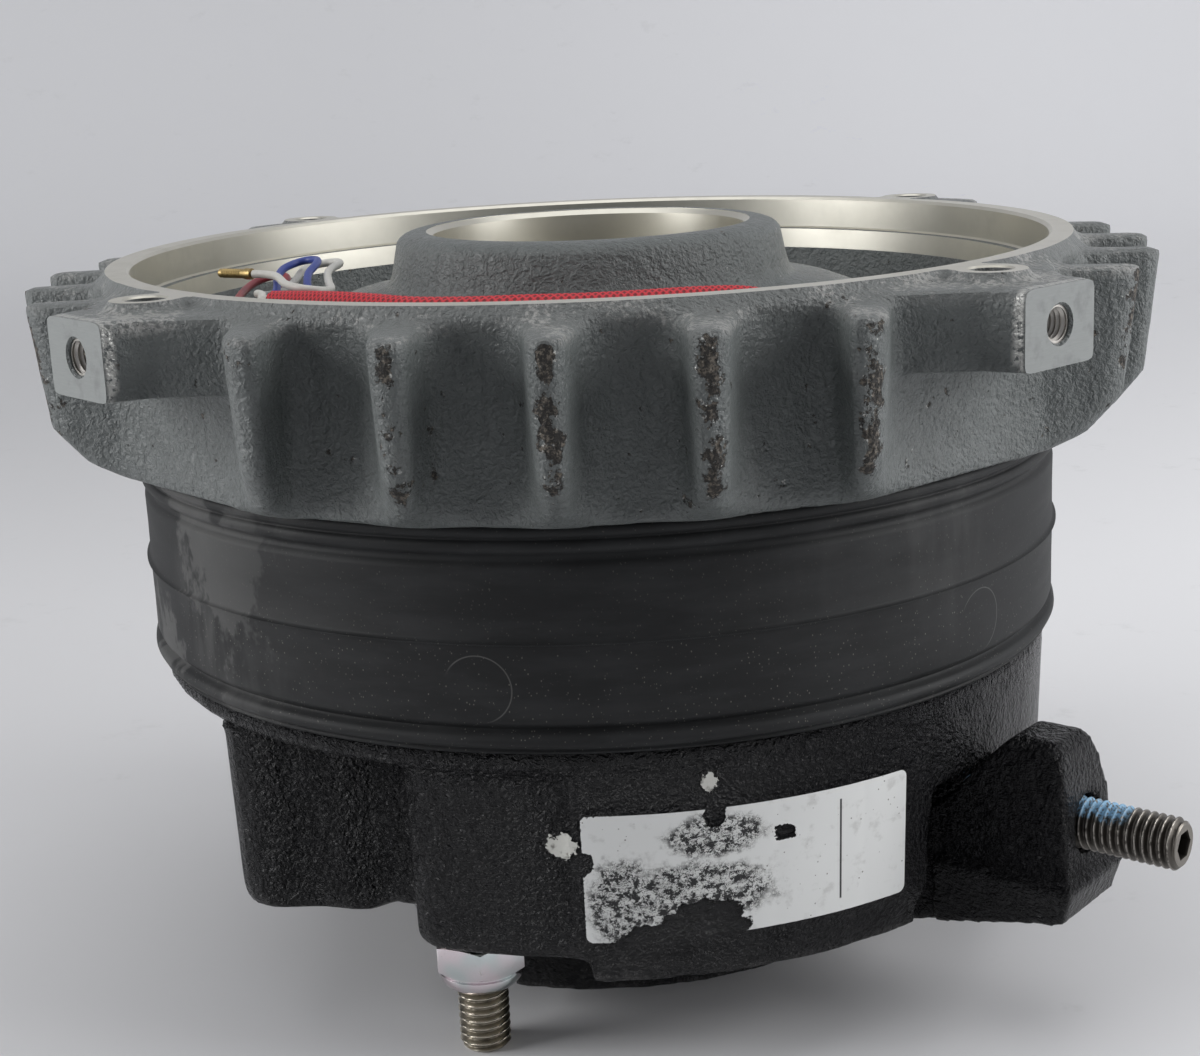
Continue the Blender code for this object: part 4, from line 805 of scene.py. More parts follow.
        colour = s.mix(s.times(marks, 0.55), colour, (0.16, 0.158, 0.152))
        low = s.step(z, 73.0 * MM, 66.0 * MM)
        fibres = s.times(dusty["Speck"], s.linear(low, 0.45, 0.35))
        colour = s.mix(fibres, colour, (0.14, 0.135, 0.12))
        s.shade("Base Color", colour)
        s.shade("Roughness", s.blend(s.most(smear, flow), 0.46, 0.72))
        fine = s.noise(place, 1300.0, 3.0, 0.6)
        scratch = s.noise(s.vector(s.times(arc, 90.0), s.times(z, 2400.0), 0.0), 1.0, 3.0, 0.6)
        height = s.plus(s.times(fine, 0.5), s.times(scratch, 0.3))
        height = s.plus(height, s.times(marks, 1.2))
        s.bump(height, 0.45, 0.06 * MM)
        return s.made

    @staticmethod
    def metal(name, colour, rough, grain=2200.0, stain=0.25):
        s = Surface(name, colour, rough, 1.0)
        place = s.object_place()
        brushed = s.noise(place, grain, 3.0, 0.6)
        stains = s.step(s.noise(place, 240.0, 3.0, 0.6), 0.4, 0.75)
        s.shade("Base Color", s.mix(s.times(stains, stain), colour, tint(colour, 0.45)))
        s.shade("Roughness", s.blend(brushed, rough * 0.75, rough * 1.35))
        s.bump(brushed, 0.2, 0.03 * MM)
        return s.made

    @staticmethod
    def stud_steel():
        c = colours()
        s = Surface("stud_steel", c.stud_steel, 0.3, 1.0)
        place = s.object_place()
        crest = s.attribute("crest")
        grime = s.step(s.noise(place, 700.0, 3.0, 0.6), 0.42, 0.7)
        # Painted shade: the thread roots are darkened everywhere away from the crests, with
        # patches of grime on top
        darkening = s.times(s.minus(1.0, crest), s.linear(grime, 0.35, 0.6), clamp=True)
        s.shade("Base Color", s.mix(darkening, c.stud_steel, (0.075, 0.062, 0.045)))
        s.shade("Roughness", s.blend(darkening, 0.24, 0.55))
        s.bump(s.noise(place, 2500.0, 2.0), 0.25, 0.03 * MM)
        return s.made

    @staticmethod
    def zinc():
        c = colours()
        s = Surface("zinc_plate", c.zinc, 0.26, 1.0)
        place = s.object_place()
        sheen = s.step(s.noise(place, 190.0, 1.0), 0.35, 0.65)
        colour = s.mix(sheen, (0.54, 0.59, 0.59), (0.66, 0.59, 0.62))
        spots = s.step(s.noise(place, 900.0, 3.0, 0.7), 0.60, 0.74)
        s.shade("Base Color", s.mix(s.times(spots, 0.35), colour, (0.42, 0.40, 0.36)))
        s.shade("Roughness", s.blend(spots, 0.15, 0.36))
        s.bump(s.noise(place, 1600.0, 2.0), 0.2, 0.03 * MM)
        return s.made

    @staticmethod
    def black_oxide():
        c = colours()
        s = Surface("black_oxide_steel", c.screw_steel, 0.34, 1.0)
        place = s.object_place()
        crest = s.attribute("crest")
        x, y, z = s.parts(place)
        axis = polar(1.0, LEVER_AZ)
        out = s.plus(s.times(x, axis.x), s.times(y, axis.y))
        ragged = s.linear(s.noise(place, 900.0, 3.0, 0.6), 4.0 * MM, -2.0 * MM)
        here = s.plus(out, ragged)
        upper = s.step(s.plus(z, ragged), 34.8 * MM, 35.7 * MM)
        patch = s.times(s.step(here, 98.8 * MM, 97.6 * MM), upper)
        worn = s.times(s.step(crest, 0.72, 0.95), s.step(s.noise(place, 1500.0, 2.0), 0.34, 0.52))
        colour = s.mix(worn, c.screw_steel, (0.25, 0.235, 0.215))
        colour = s.mix(s.step(out, 105.9 * MM, 106.3 * MM), colour, (0.20, 0.185, 0.165))
        cover = s.times(patch, s.step(s.noise(place, 1900.0, 2.0), 0.36, 0.5))
        colour = s.mix(cover, colour, c.thread_lock)
        s.shade("Base Color", colour)
        s.shade("Metallic", s.minus(1.0, patch))
        s.shade("Roughness", s.blend(patch, s.blend(worn, 0.46, 0.34), 0.6))
        s.bump(s.noise(place, 2400.0, 2.0), 0.25, 0.04 * MM)
        return s.made

    @staticmethod
    def paper():
        """Label with rubbed and torn places. Its UV map counts in label widths."""
        c, size = colours(), sizes()
        s = Surface("label_paper", c.paper, 0.42)
        uv = s.node("TexCoord").outputs["UV"]
        flat = s.stretched(uv, (size.label_width / MM, size.label_height / MM, 0.0))
        x, y, _ = s.parts(flat)
        ragged = s.linear(s.noise(flat, 0.55, 5.0, 0.62), 9.0, -4.5)
        rough_edge = s.linear(s.noise(flat, 2.2, 4.0, 0.6), 1.6, -0.8)

        def spot(cx, cy, wide, tall):
            across = s.math("DIVIDE", s.minus(x, cx), wide)
            up = s.math("DIVIDE", s.minus(y, cy), tall)
            return s.distance(across, up)

        gap = s.plus(spot(17.2, 1.6, 6.6, 4.2), s.times(ragged, 0.10))
        gap_left = s.plus(spot(10.0, -0.2, 5.4, 2.7), s.times(ragged, 0.12))
        notch = s.plus(spot(19.0, 18.8, 1.7, 2.1), s.times(ragged, 0.12))
        bite = s.plus(spot(0.2, 12.4, 1.5, 1.9), s.times(ragged, 0.12))
        rub = s.plus(spot(29.2, 14.4, 1.7, 1.1), s.times(ragged, 0.33))
        torn = s.least(s.least(gap, gap_left), s.least(notch, s.least(bite, rub)))
        worn = s.least(spot(5.5, 6.0, 5.0, 7.0), spot(19.0, 15.5, 7.5, 3.4))
        worn = s.least(spot(15.5, 6.6, 12.5, 5.2), worn)
        smear_zone = s.step(s.plus(worn, s.times(ragged, 0.09)), 1.15, 0.75)
        curled = s.vectors("ADD", flat, s.vector(ragged, rough_edge, 0.0))
        curls = s.noise(curled, 0.9, 4.0, 0.6)
        threads = s.near(curls, 0.5, 0.030, 0.010)
        crumbs = s.step(s.noise(flat, 0.75, 6.0, 0.80), 0.500, 0.520)
        dark = s.times(smear_zone, s.most(threads, crumbs), clamp=True)
        grey = s.times(s.step(s.noise(flat, 0.35, 4.0, 0.6), 0.54, 0.72), 0.55)
        dots = s.math("LESS_THAN", s.cells(flat, 0.8), 0.10)
        dots = s.times(dots, s.step(s.noise(flat, 0.25, 1.0), 0.45, 0.6))
        rule = s.times(s.step(y, 2.0, 2.2), s.step(y, 17.8, 17.6))
        rule = s.times(s.near(x, 38.2, 0.20, 0.12), rule)
        colour = s.mix(grey, c.paper, (0.50, 0.50, 0.485))
        colour = s.mix(s.times(smear_zone, 0.25), colour, (0.40, 0.40, 0.38))
        colour = s.mix(dots, colour, (0.24, 0.23, 0.22))
        colour = s.mix(rule, colour, (0.02, 0.02, 0.022))
        colour = s.mix(dark, colour, (0.010, 0.010, 0.011))
        s.shade("Base Color", colour)
        s.shade("Roughness", s.blend(dark, 0.36, 0.6))
        corner_x = s.most(s.minus(s.math("ABSOLUTE", s.minus(x, 25.0)), 23.8), 0.0)
        corner_y = s.most(s.minus(s.math("ABSOLUTE", s.minus(y, 9.8)), 8.6), 0.0)
        corner = s.distance(corner_x, corner_y)
        left_edge = s.times(s.step(x, 7.0, 0.0), s.times(rough_edge, 0.7))
        inside = s.step(s.plus(corner, left_edge), 1.22, 1.14)
        here = s.times(s.step(torn, 0.97, 1.03), inside)
        s.shade("Alpha", here)
        height = s.plus(s.times(dark, -0.6), s.times(curls, s.linear(smear_zone, 1.0, 0.25)))
        s.bump(height, 0.5, 0.12 * MM)
        return s.made

    @staticmethod
    def scrap_paper():
        s = Surface("label_scrap", (0.55, 0.55, 0.52), 0.5)
        uv = s.node("TexCoord").outputs["UV"]
        x, y, _ = s.parts(uv)
        centre = s.distance(s.minus(x, 0.5), s.minus(y, 0.5))
        ragged = s.noise(uv, 4.5, 4.0, 0.65)
        place = s.object_place()
        # Dirt darkens the scrap in patches
        darkening = s.step(s.noise(place, 900.0, 3.0), 0.5, 0.7)
        s.shade("Base Color", s.mix(darkening, (0.60, 0.60, 0.56), (0.20, 0.19, 0.17)))
        s.shade("Alpha", s.step(s.plus(centre, s.linear(ragged, 0.9, -0.45)), 0.40, 0.36))
        s.bump(ragged, 0.5, 0.2 * MM)
        return s.made

    @staticmethod
    def braid():
        c = colours()
        s = Surface("braided_sleeve", c.sleeve_red, 0.55)
        u, v, _ = s.parts(s.node("TexCoord").outputs["UV"])
        along = s.times(u, math.tau * 104.0)
        around = s.times(v, math.tau * 10.0)
        one = s.math("SINE", s.plus(along, around))
        two = s.math("SINE", s.minus(along, around))
        weave = s.most(one, two)
        # Painted shade: the valleys of the weave are painted at a third of the red, the crests at
        # full red
        crest = s.step(weave, -0.2, 0.9)
        s.shade("Base Color", s.mix(crest, tint(c.sleeve_red, 0.3), c.sleeve_red))
        s.bump(weave, 0.6, 0.12 * MM)
        return s.made

    @staticmethod
    def insulation(name, colour):
        s = Surface(name, colour, 0.42)
        place = s.object_place()
        ribs = s.noise(place, 1500.0, 2.0)
        s.shade("Base Color", s.mix(s.times(ribs, 0.5), colour, tint(colour, 0.7)))
        s.bump(ribs, 0.35, 0.06 * MM)
        return s.made

    @staticmethod
    def matt(name, colour, rough, grain):
        s = Surface(name, colour, rough)
        place = s.object_place()
        grit = s.noise(place, grain, 4.0, 0.7)
        s.shade("Base Color", s.mix(grit, tint(colour, 0.5), tint(colour, 1.5)))
        s.bump(grit, 0.5, 0.1 * MM)
        return s.made


# Pieces


class BRAKE_OT_stage(bpy.types.Operator):
    """Camera, floor with its backdrop, and soft studio lights"""

    bl_idname = "brake.stage"
    bl_label = "Stage"

    def execute(self, context):
        lights = context.scene.brake_lights
        # The camera that was fitted to the photograph
        ahead = Vector((-0.06487, 0.96760, -0.24402)).normalized()
        right = Vector((0.99750, 0.05605, -0.04292)).normalized()
        up = right.cross(ahead).normalized()
        deselect()
        bpy.ops.object.camera_add()
        camera = bpy.context.object
        camera.name = "photo_camera"
        place = Vector((0.02207, -0.33230, 0.15029))
        camera.matrix_world = Matrix([
            (right[i], up[i], -ahead[i], place[i]) for i in range(3)
        ] + [(0, 0, 0, 1)])
        camera.data.sensor_width = 36.0
        camera.data.lens = 59.55
        camera.data.clip_start = 0.01
        context.scene.camera = camera

        deselect()
        bpy.ops.mesh.primitive_circle_add(vertices=128, radius=1.6, fill_type="NGON")
        floor = fresh("floor")
        edit(floor)
        bpy.ops.mesh.select_mode(type="EDGE")
        bpy.ops.mesh.select_all(action="DESELECT")
        bpy.ops.mesh.select_non_manifold()
        bpy.ops.mesh.extrude_edges_move(TRANSFORM_OT_translate={"value": (0, 0, 1.5)})
        edit(floor, lambda co: co.z < 0.01)
        bpy.ops.mesh.bevel(offset=0.6, segments=16, affect="EDGES")
        deselect()
        smooth_shaded(floor, 60.0)
        floor.data.materials.append(self.floor_finish())

        self.panel("right_panel", (0.72, -0.10, 0.34), (0.50, 0.50), lights.right_panel)
        self.panel("left_panel", (-0.70, -0.20, 0.30), (0.40, 0.44), lights.left_panel)
        self.panel("ceiling", (0.0, 0.12, 1.15), (1.30, 1.10), lights.ceiling)
        self.room(lights.room)
        context.scene.view_settings.view_transform = "Standard"
        return {"FINISHED"}

    def panel(self, name, place, size, power):
        deselect()
        bpy.ops.object.light_add(type="AREA", location=place)
        lamp = bpy.context.object
        lamp.name = name
        lamp.data.shape = "RECTANGLE"
        lamp.data.size, lamp.data.size_y = size
        lamp.data.energy = power
        aim = Vector((0.0, 0.0, 0.07)) - Vector(place)
        lamp.rotation_euler = aim.to_track_quat("-Z", "Y").to_euler()

    def floor_finish(self):
        s = Surface("floor", colours().floor, 0.6)
        place = s.object_place()
        x, y, _ = s.parts(place)
        plain = tuple(colours().floor)
        # Painted light and shade: the floor and backdrop are painted darker towards the left and
        # brighter towards the right
        colour = s.mix(s.step(x, -0.35, 0.35), tint(plain, 0.82), tint(plain, 1.12))
        # Painted shade: the floor in front of the camera, out of view, is painted dark so that it
        # throws little light back onto the brake's front
        colour = s.mix(s.step(y, -0.16, -0.30), colour, (0.30, 0.30, 0.31))
        faint = s.times(s.step(s.noise(place, 38.0, 5.0, 0.7), 0.60, 0.72), 0.22)
        s.shade("Base Color", s.mix(faint, colour, (0.46, 0.46, 0.46)))
        # Painted light: the far floor and backdrop glow for camera and reflection rays, more with
        # distance, though they are no lamp
        rays = s.node("LightPath").outputs
        seen = s.most(rays["Is Glossy Ray"], rays["Is Transmission Ray"])
        seen = s.most(rays["Is Camera Ray"], seen)
        away = s.node("VectorMath", {0: place}, operation="LENGTH").outputs["Value"]
        far = s.step(away, 0.35, 1.5)
        s.shade("Emission Color", (0.95, 0.96, 1.0, 1.0))
        s.shade("Emission Strength", s.times(s.times(seen, far), 0.26))
        return s.made

    def room(self, strength):
        world = bpy.data.worlds.new("room")
        bpy.context.scene.world = world
        world.use_nodes = True
        air = world.node_tree.nodes["Background"]
        air.inputs["Color"].default_value = (0.93, 0.95, 1.0, 1.0)
        air.inputs["Strength"].default_value = strength


class BRAKE_OT_leads(bpy.types.Operator):
    """Braided sleeve, the three leads and the ferrule inside the bowl"""

    bl_idname = "brake.leads"
    bl_label = "Leads"

    def execute(self, context):
        size = sizes()
        sleeve_points = self.points(SLEEVE_ROUTE)
        sleeve = self.tube("braided_lead_sleeve", sleeve_points, size.sleeve_width)
        finished(sleeve, "stator", ["lead_sleeve"], Finishes.get("braid"))
        self.declare(sleeve, sleeve_points, size.sleeve_width, "bare", [])

        end, before = sleeve_points[-1], sleeve_points[-2]
        along = (end - before).normalized()
        outward = Vector((0, 0, 1)).cross(along)
        outward = outward if outward.dot(end) > 0 else -outward
        for name, turn, route, finish, node in (
            ("white_lead", 90.0, WHITE_ROUTE, "white_lead", "lead_white"),
            ("blue_lead", 210.0, BLUE_ROUTE, "blue_lead", "lead_blue"),
            ("red_lead", -30.0, RED_ROUTE, "red_lead", "lead_red"),
        ):
            angle = math.radians(turn)
            aside = outward * math.cos(angle) + Vector((0, 0, 1)) * math.sin(angle)
            aside = aside * size.lead_width * 0.64
            start = [end + along * 0.15 * MM + aside, end + along * 2.4 * MM + aside * 1.2]
            points = start + self.points(route)
            lead = self.tube(name, points, size.lead_width)
            finished(lead, "stator", [node], Finishes.get(finish))
            pieces = []
            if name == "white_lead":
                pieces = [self.ferrule(points)]
            self.declare(lead, points, size.lead_width, "fitting" if pieces else "bare", pieces)
        return {"FINISHED"}

    def points(self, route):
        return [
            polar(LEAD_CIRCLE + out * MM, azimuth, RIM - depth * MM)
            for out, azimuth, depth in route
        ]

    def curve_through(self, points, steps=6):
        route = [2 * points[0] - points[1]] + points + [2 * points[-1] - points[-2]]
        smooth = []
        for a, b, c, d in zip(route, route[1:], route[2:], route[3:]):
            for i in range(steps):
                t = i / steps
                smooth.append(0.5 * (
                    2 * b + (c - a) * t + (2 * a - 5 * b + 4 * c - d) * t ** 2
                    + (3 * b - a - 3 * c + d) * t ** 3
                ))
        smooth.append(points[-1])
        return smooth

    def tube(self, name, points, width):
        line = self.curve_through(points)
        curve = bpy.data.curves.new(name, "CURVE")
        curve.dimensions = "3D"
        spline = curve.splines.new("POLY")
        spline.points.add(len(line) - 1)
        for slot, point in zip(spline.points, line):
            slot.co = (*point, 1.0)
        curve.bevel_depth = width / 2
        curve.bevel_resolution = 5
        curve.use_fill_caps = True
        piece = bpy.data.objects.new(name, curve)
        bpy.context.scene.collection.objects.link(piece)
        return piece

    def declare(self, piece, points, width, far_end, with_pieces):
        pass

    def ferrule(self, points):
        radius, reach = 0.8 * MM, 6.8 * MM
        profile = [(0.0, 0.0), (radius * 1.18, 0.0), (radius * 1.18, 1.2 * MM), (radius, 1.5 * MM)]
        for i in range(9):
            z = (1.9 + i * 0.5) * MM
            profile += [(radius, z), (radius * 0.88, z + 0.25 * MM)]
        profile += [(radius * 0.96, reach - 0.2 * MM), (radius * 0.8, reach), (0.0, reach)]
        piece = turned("crimped_ferrule", profile, 20)
        along = (points[-1] - points[-2]).normalized()
        turn = along.to_track_quat("Z", "Y").to_matrix().to_4x4()
        placed(piece, Matrix.Translation(points[-1] + along * 0.3 * MM) @ turn)
        smooth_shaded(piece, 40.0)
        return finished(piece, "stator", ["lead_ferrule"], Finishes.get("brass"))


class BRAKE_OT_endshield(bpy.types.Operator):
    """Cast endshield with machined rim, bore, bearing seat, lug faces and holes"""

    bl_idname = "brake.endshield"
    bl_label = "Endshield"

    # Iron that is machined away from the casting: at the rim, and at seat and lugs
    RIM_STOCK = 1.6 * MM
    FACE_STOCK = 1.4 * MM
    # Shoulder under the bearing seat, and the distance between the fins
    SHOULDER = RIM - 15.0 * MM
    FIN_PITCH = 20.31 * MM
    # Chipped stretches of the front fins: from and to in shares of the height, and how badly
    FRONT_CHIPS = (
        ((0.0, 0.12, 0.45),),
        ((0.0, 0.2, 1.0), (0.2, 0.75, 0.48), (0.72, 0.95, 0.85)),
        ((0.0, 0.16, 1.0), (0.16, 0.55, 0.8), (0.55, 1.0, 0.5)),
        ((0.0, 0.12, 0.9), (0.12, 1.0, 0.82)),
        ((0.0, 0.08, 0.6), (0.08, 0.95, 0.78)),
    )

    def execute(self, context):
        size = sizes()
        bore, seat, reach = size.bore_radius, size.bearing_radius, size.lug_reach
        piece = copy_of_node("endshield", "cast_endshield")

        def radius_of(co):
            return math.hypot(co.x, co.y)

        def fill_bore(radius, stock, wide, low):
            def on_wall(co):
                return radius - 0.1 * MM < radius_of(co) < radius + wide and co.z > low

            shrink = 1.0 - stock / radius
            edit(piece, on_wall)
            bpy.ops.transform.resize(value=(shrink, shrink, 1.0), center_override=(0, 0, 0))

        edit(piece, lambda co: abs(co.z - RIM) < 2e-5 and radius_of(co) > bore - 0.1 * MM)
        bpy.ops.transform.translate(value=(0, 0, self.RIM_STOCK))
        fill_bore(bore, self.RIM_STOCK, 0.7 * MM, RIM - 6.0 * MM)
        fill_bore(seat, self.FACE_STOCK, 1.0 * MM, RIM - 15.1 * MM)
        for azimuth in LUG_AZIMUTHS:
            out = polar(1.0, azimuth)
            edit(piece, lambda co: co.dot(out) > reach - 0.1 * MM)
            bpy.ops.transform.translate(value=out * self.FACE_STOCK)
        deselect()
        cast(piece, size.cast_grain * (1.0), 2)
        self.shape_fins(piece)
        apply_modifier(piece, "SMOOTH", factor=0.5, iterations=1)

        rim_tool = turned("rim_tool", [
            (bore - 5.0 * MM, RIM + 6.0 * MM), (reach + 14.0 * MM, RIM + 6.0 * MM),
            (reach + 14.0 * MM, RIM), (bore + 0.5 * MM, RIM), (bore, RIM - 0.5 * MM),
            (bore, RIM - 5.6 * MM), (bore - 0.4 * MM, RIM - 5.9 * MM),
            (bore - 1.5 * MM, RIM - 6.0 * MM), (bore - 1.7 * MM, RIM - 9.6 * MM),
            (bore - 5.0 * MM, RIM - 9.6 * MM),
        ], 256)
        top, shoulder, below = RIM + HUB_RISE, self.SHOULDER, RIM - 20.9 * MM
        seat_tool = turned("seat_tool", [
            (0.0, top + 3.0 * MM), (seat + 0.9 * MM, top + 3.0 * MM),
            (seat + 0.9 * MM, top - 0.1 * MM), (seat, top - 0.9 * MM),
            (seat, shoulder), (seat - 4.6 * MM, shoulder),
            (seat - 4.8 * MM, RIM - 15.2 * MM), (seat - 4.8 * MM, below), (0.0, below),
        ], 160)
        combine(piece, joined("lathe_tools", [rim_tool, seat_tool]), solver="MANIFOLD")

        blocks = []
        for azimuth in LUG_AZIMUTHS:
            deselect()
            bpy.ops.mesh.primitive_cube_add(size=1.0)
            block = fresh("mill")
            placed(block, Matrix.Diagonal((40 * MM, 40 * MM, 12 * MM, 1.0)))
            blocks.append(placed(block, pointing_out(azimuth, RIM - 7 * MM, reach + 6 * MM)))
        combine(piece, joined("mills", blocks), solver="MANIFOLD")

        drills = []
        for azimuth in LUG_AZIMUTHS:
            hole = turned("drill", [
                (0.0, 3.0), (3.35, 3.0), (3.35, 0.05), (3.05, -0.3), (3.05, -17.0), (0.0, -17.0),
            ], 40, MM)
            drills.append(placed(hole, standing_at(LUG_HOLE_CIRCLE, azimuth, RIM)))
            tap = turned("tap", [
                (0.0, -8.0), (2.62, -8.0), (2.62, -0.35), (2.95, 0.0), (2.95, 3.0), (0.0, 3.0),
            ], 36, MM)
            drills.append(placed(tap, pointing_out(azimuth, LUG_HOLE_HEIGHT, reach)))
        dimple = turned("dimple", [(0.0, -1.2), (0.75, -1.2), (0.9, 2.0), (0.0, 2.0)], 20, MM)
        facing = Matrix.Rotation(math.radians(90.0), 4, "X")
        front_of_lug = Matrix.Translation((52.2 * MM, -65.8 * MM, 110.8 * MM))
        drills.append(placed(dimple, front_of_lug @ facing))
        combine(piece, joined("drills", drills), solver="MANIFOLD")
        mark_edges(piece, 0.34 * MM)
        self.mark_chips(piece)

        def finish_of(centre, normal):
            radius = radius_of(centre)
            for azimuth in LUG_AZIMUTHS:
                if centre.dot(polar(1.0, azimuth)) > reach - 0.02 * MM:
                    return 2
                aside = radius_of(centre - polar(LUG_HOLE_CIRCLE, azimuth))
                if aside < 3.4 * MM and centre.z > RIM - 13 * MM:
                    return 1 if centre.z > RIM - 0.32 * MM else 0
            flat_top = abs(centre.z - RIM) < 0.03 * MM and normal.z > 0.9
            on_band = bore - 1.9 * MM < radius < bore + 0.55 * MM
            in_bore = on_band and centre.z > RIM - 9.7 * MM and normal.z < 0.95
            in_seat = radius < seat + 0.95 * MM and centre.z > RIM - 15.1 * MM
            return 1 if flat_top or in_bore or in_seat else 0

        finishes = [Finishes.get(n) for n in ("grey_paint", "machined_iron", "milled_paint")]
        paint_faces(piece, finishes, finish_of)
        smooth_shaded(piece, 38.0)
        finished(piece, "stator", ["endshield"])

        profile = [(2.75, -0.6), (2.75, -8.2), (2.15, -8.2)]
        for i in range(9):
            z = -7.8 + 0.8 * i
            profile += [(2.12, z), (2.52, z + 0.36), (2.52, z + 0.44)]
        thread = turned("lug_thread", profile + [(2.3, -0.6)], 32, MM)
        smooth_shaded(thread, 30.0)
        places = [pointing_out(azimuth, LUG_HOLE_HEIGHT, reach) for azimuth in LUG_AZIMUTHS]
        for made in copies(thread, places):
            finished(made, "stator", (), Finishes.get("plain_steel"))
        return {"FINISHED"}

    def fin_places(self, co):
        """Side, fin, and offset from the fin's middle plane of each point."""
        sides = ((0, -1), (1, 0), (0, 1), (-1, 0))
        outs = np.stack([co[:, 0] * x + co[:, 1] * y for x, y in sides])
        side = outs.argmax(axis=0)
        across = np.choose(side, [co[:, 0], co[:, 1], -co[:, 0], -co[:, 1]])
        fin = np.clip(np.rint(across / self.FIN_PITCH), -2, 2)
        return side, fin.astype(int) + 2, across - fin * self.FIN_PITCH

    def shape_fins(self, piece):
        """Narrows each fin towards its toe and draws the hub's foot in."""
        mesh = piece.data
        co = points_of(mesh)
        side, _, offset = self.fin_places(co)
        radius = np.hypot(co[:, 0], co[:, 1])
        depth = ramp(RIM - 7.0 * MM - co[:, 2], 23.0 * MM)
        near = ramp(4.5 * MM - np.abs(offset), 1.5 * MM)
        proud = ramp(radius - 81.0 * MM, 5.0 * MM)
        shift = -offset * (0.02 + 0.24 * depth) * near * proud
        x_sign = np.choose(side, [1, 0, -1, 0])
        y_sign = np.choose(side, [0, 1, 0, -1])
        co[:, 0] += shift * x_sign
        co[:, 1] += shift * y_sign
        hub, web = 31.8 * MM, 41.0 * MM
        foot = (radius > hub) & (radius < web) & (co[:, 2] > RIM - 9.0 * MM)
        wanted = hub + (radius - hub) * (1.0 - 0.62 * ramp(web - radius, 3.0 * MM))
        share = np.where(foot, wanted / np.maximum(radius, 1.0 * MM), 1.0)
        co[:, :2] *= share[:, None]
        move_points(mesh, co)

    def mark_chips(self, piece):
        """Stores where the fins' crests are chipped, and where the lugs' edges are bare."""
        mesh = piece.data
        co = points_of(mesh)
        side, fin, offset = self.fin_places(co)
        down = (RIM - 4.0 * MM - co[:, 2]) / (25.5 * MM)
        crest = np.clip(1.25 - np.abs(offset) / (1.7 * MM), 0.0, 1.0)
        crest *= ramp(np.hypot(co[:, 0], co[:, 1]) - 86.8 * MM, 1.0 * MM)
        level = np.zeros(len(co))
        for number, stretches in enumerate(self.FRONT_CHIPS):
            for turn in range(4):
                # The other three sides show the same stretches on other fins
                own = number if turn == 0 else (number * 2 + turn) % 5
                here = (side == turn) & (fin == own)
                for top, bottom, amount in stretches:
                    inside = here & (down > top - 0.04) & (down < bottom)
                    amount = amount if turn == 0 else amount * 0.8
                    level[inside] = np.maximum(level[inside], amount)
        store(mesh, "chips", level * crest)
        bare = np.zeros(len(co))
        for azimuth in LUG_AZIMUTHS:
            out, aside = polar(1.0, azimuth), polar(1.0, azimuth + 90.0)
            near = co[:, 0] * out.x + co[:, 1] * out.y
            beside = np.abs(co[:, 0] * aside.x + co[:, 1] * aside.y)
            on_edge = (near > 93.2 * MM) & ((beside > 6.2 * MM) | (co[:, 2] > RIM - 2.6 * MM))
            bare[on_edge & (near < 94.39 * MM)] = 1.0
        store(mesh, "sharp", bare)


class BRAKE_OT_collar(bpy.types.Operator):
    """Moulded rubber sealing collar with its beads, grooves and parting line"""

    bl_idname = "brake.collar"
    bl_label = "Sealing collar"

    def execute(self, context):
        profile = [(radius * MM, RIM - depth * MM) for radius, depth in COLLAR_SECTION]
        piece = turned("rubber_collar", profile, 240)
        smooth_shaded(piece, 50.0)
        finished(piece, "stator", ["sealing_collar"], Finishes.get("rubber"))
        return {"FINISHED"}


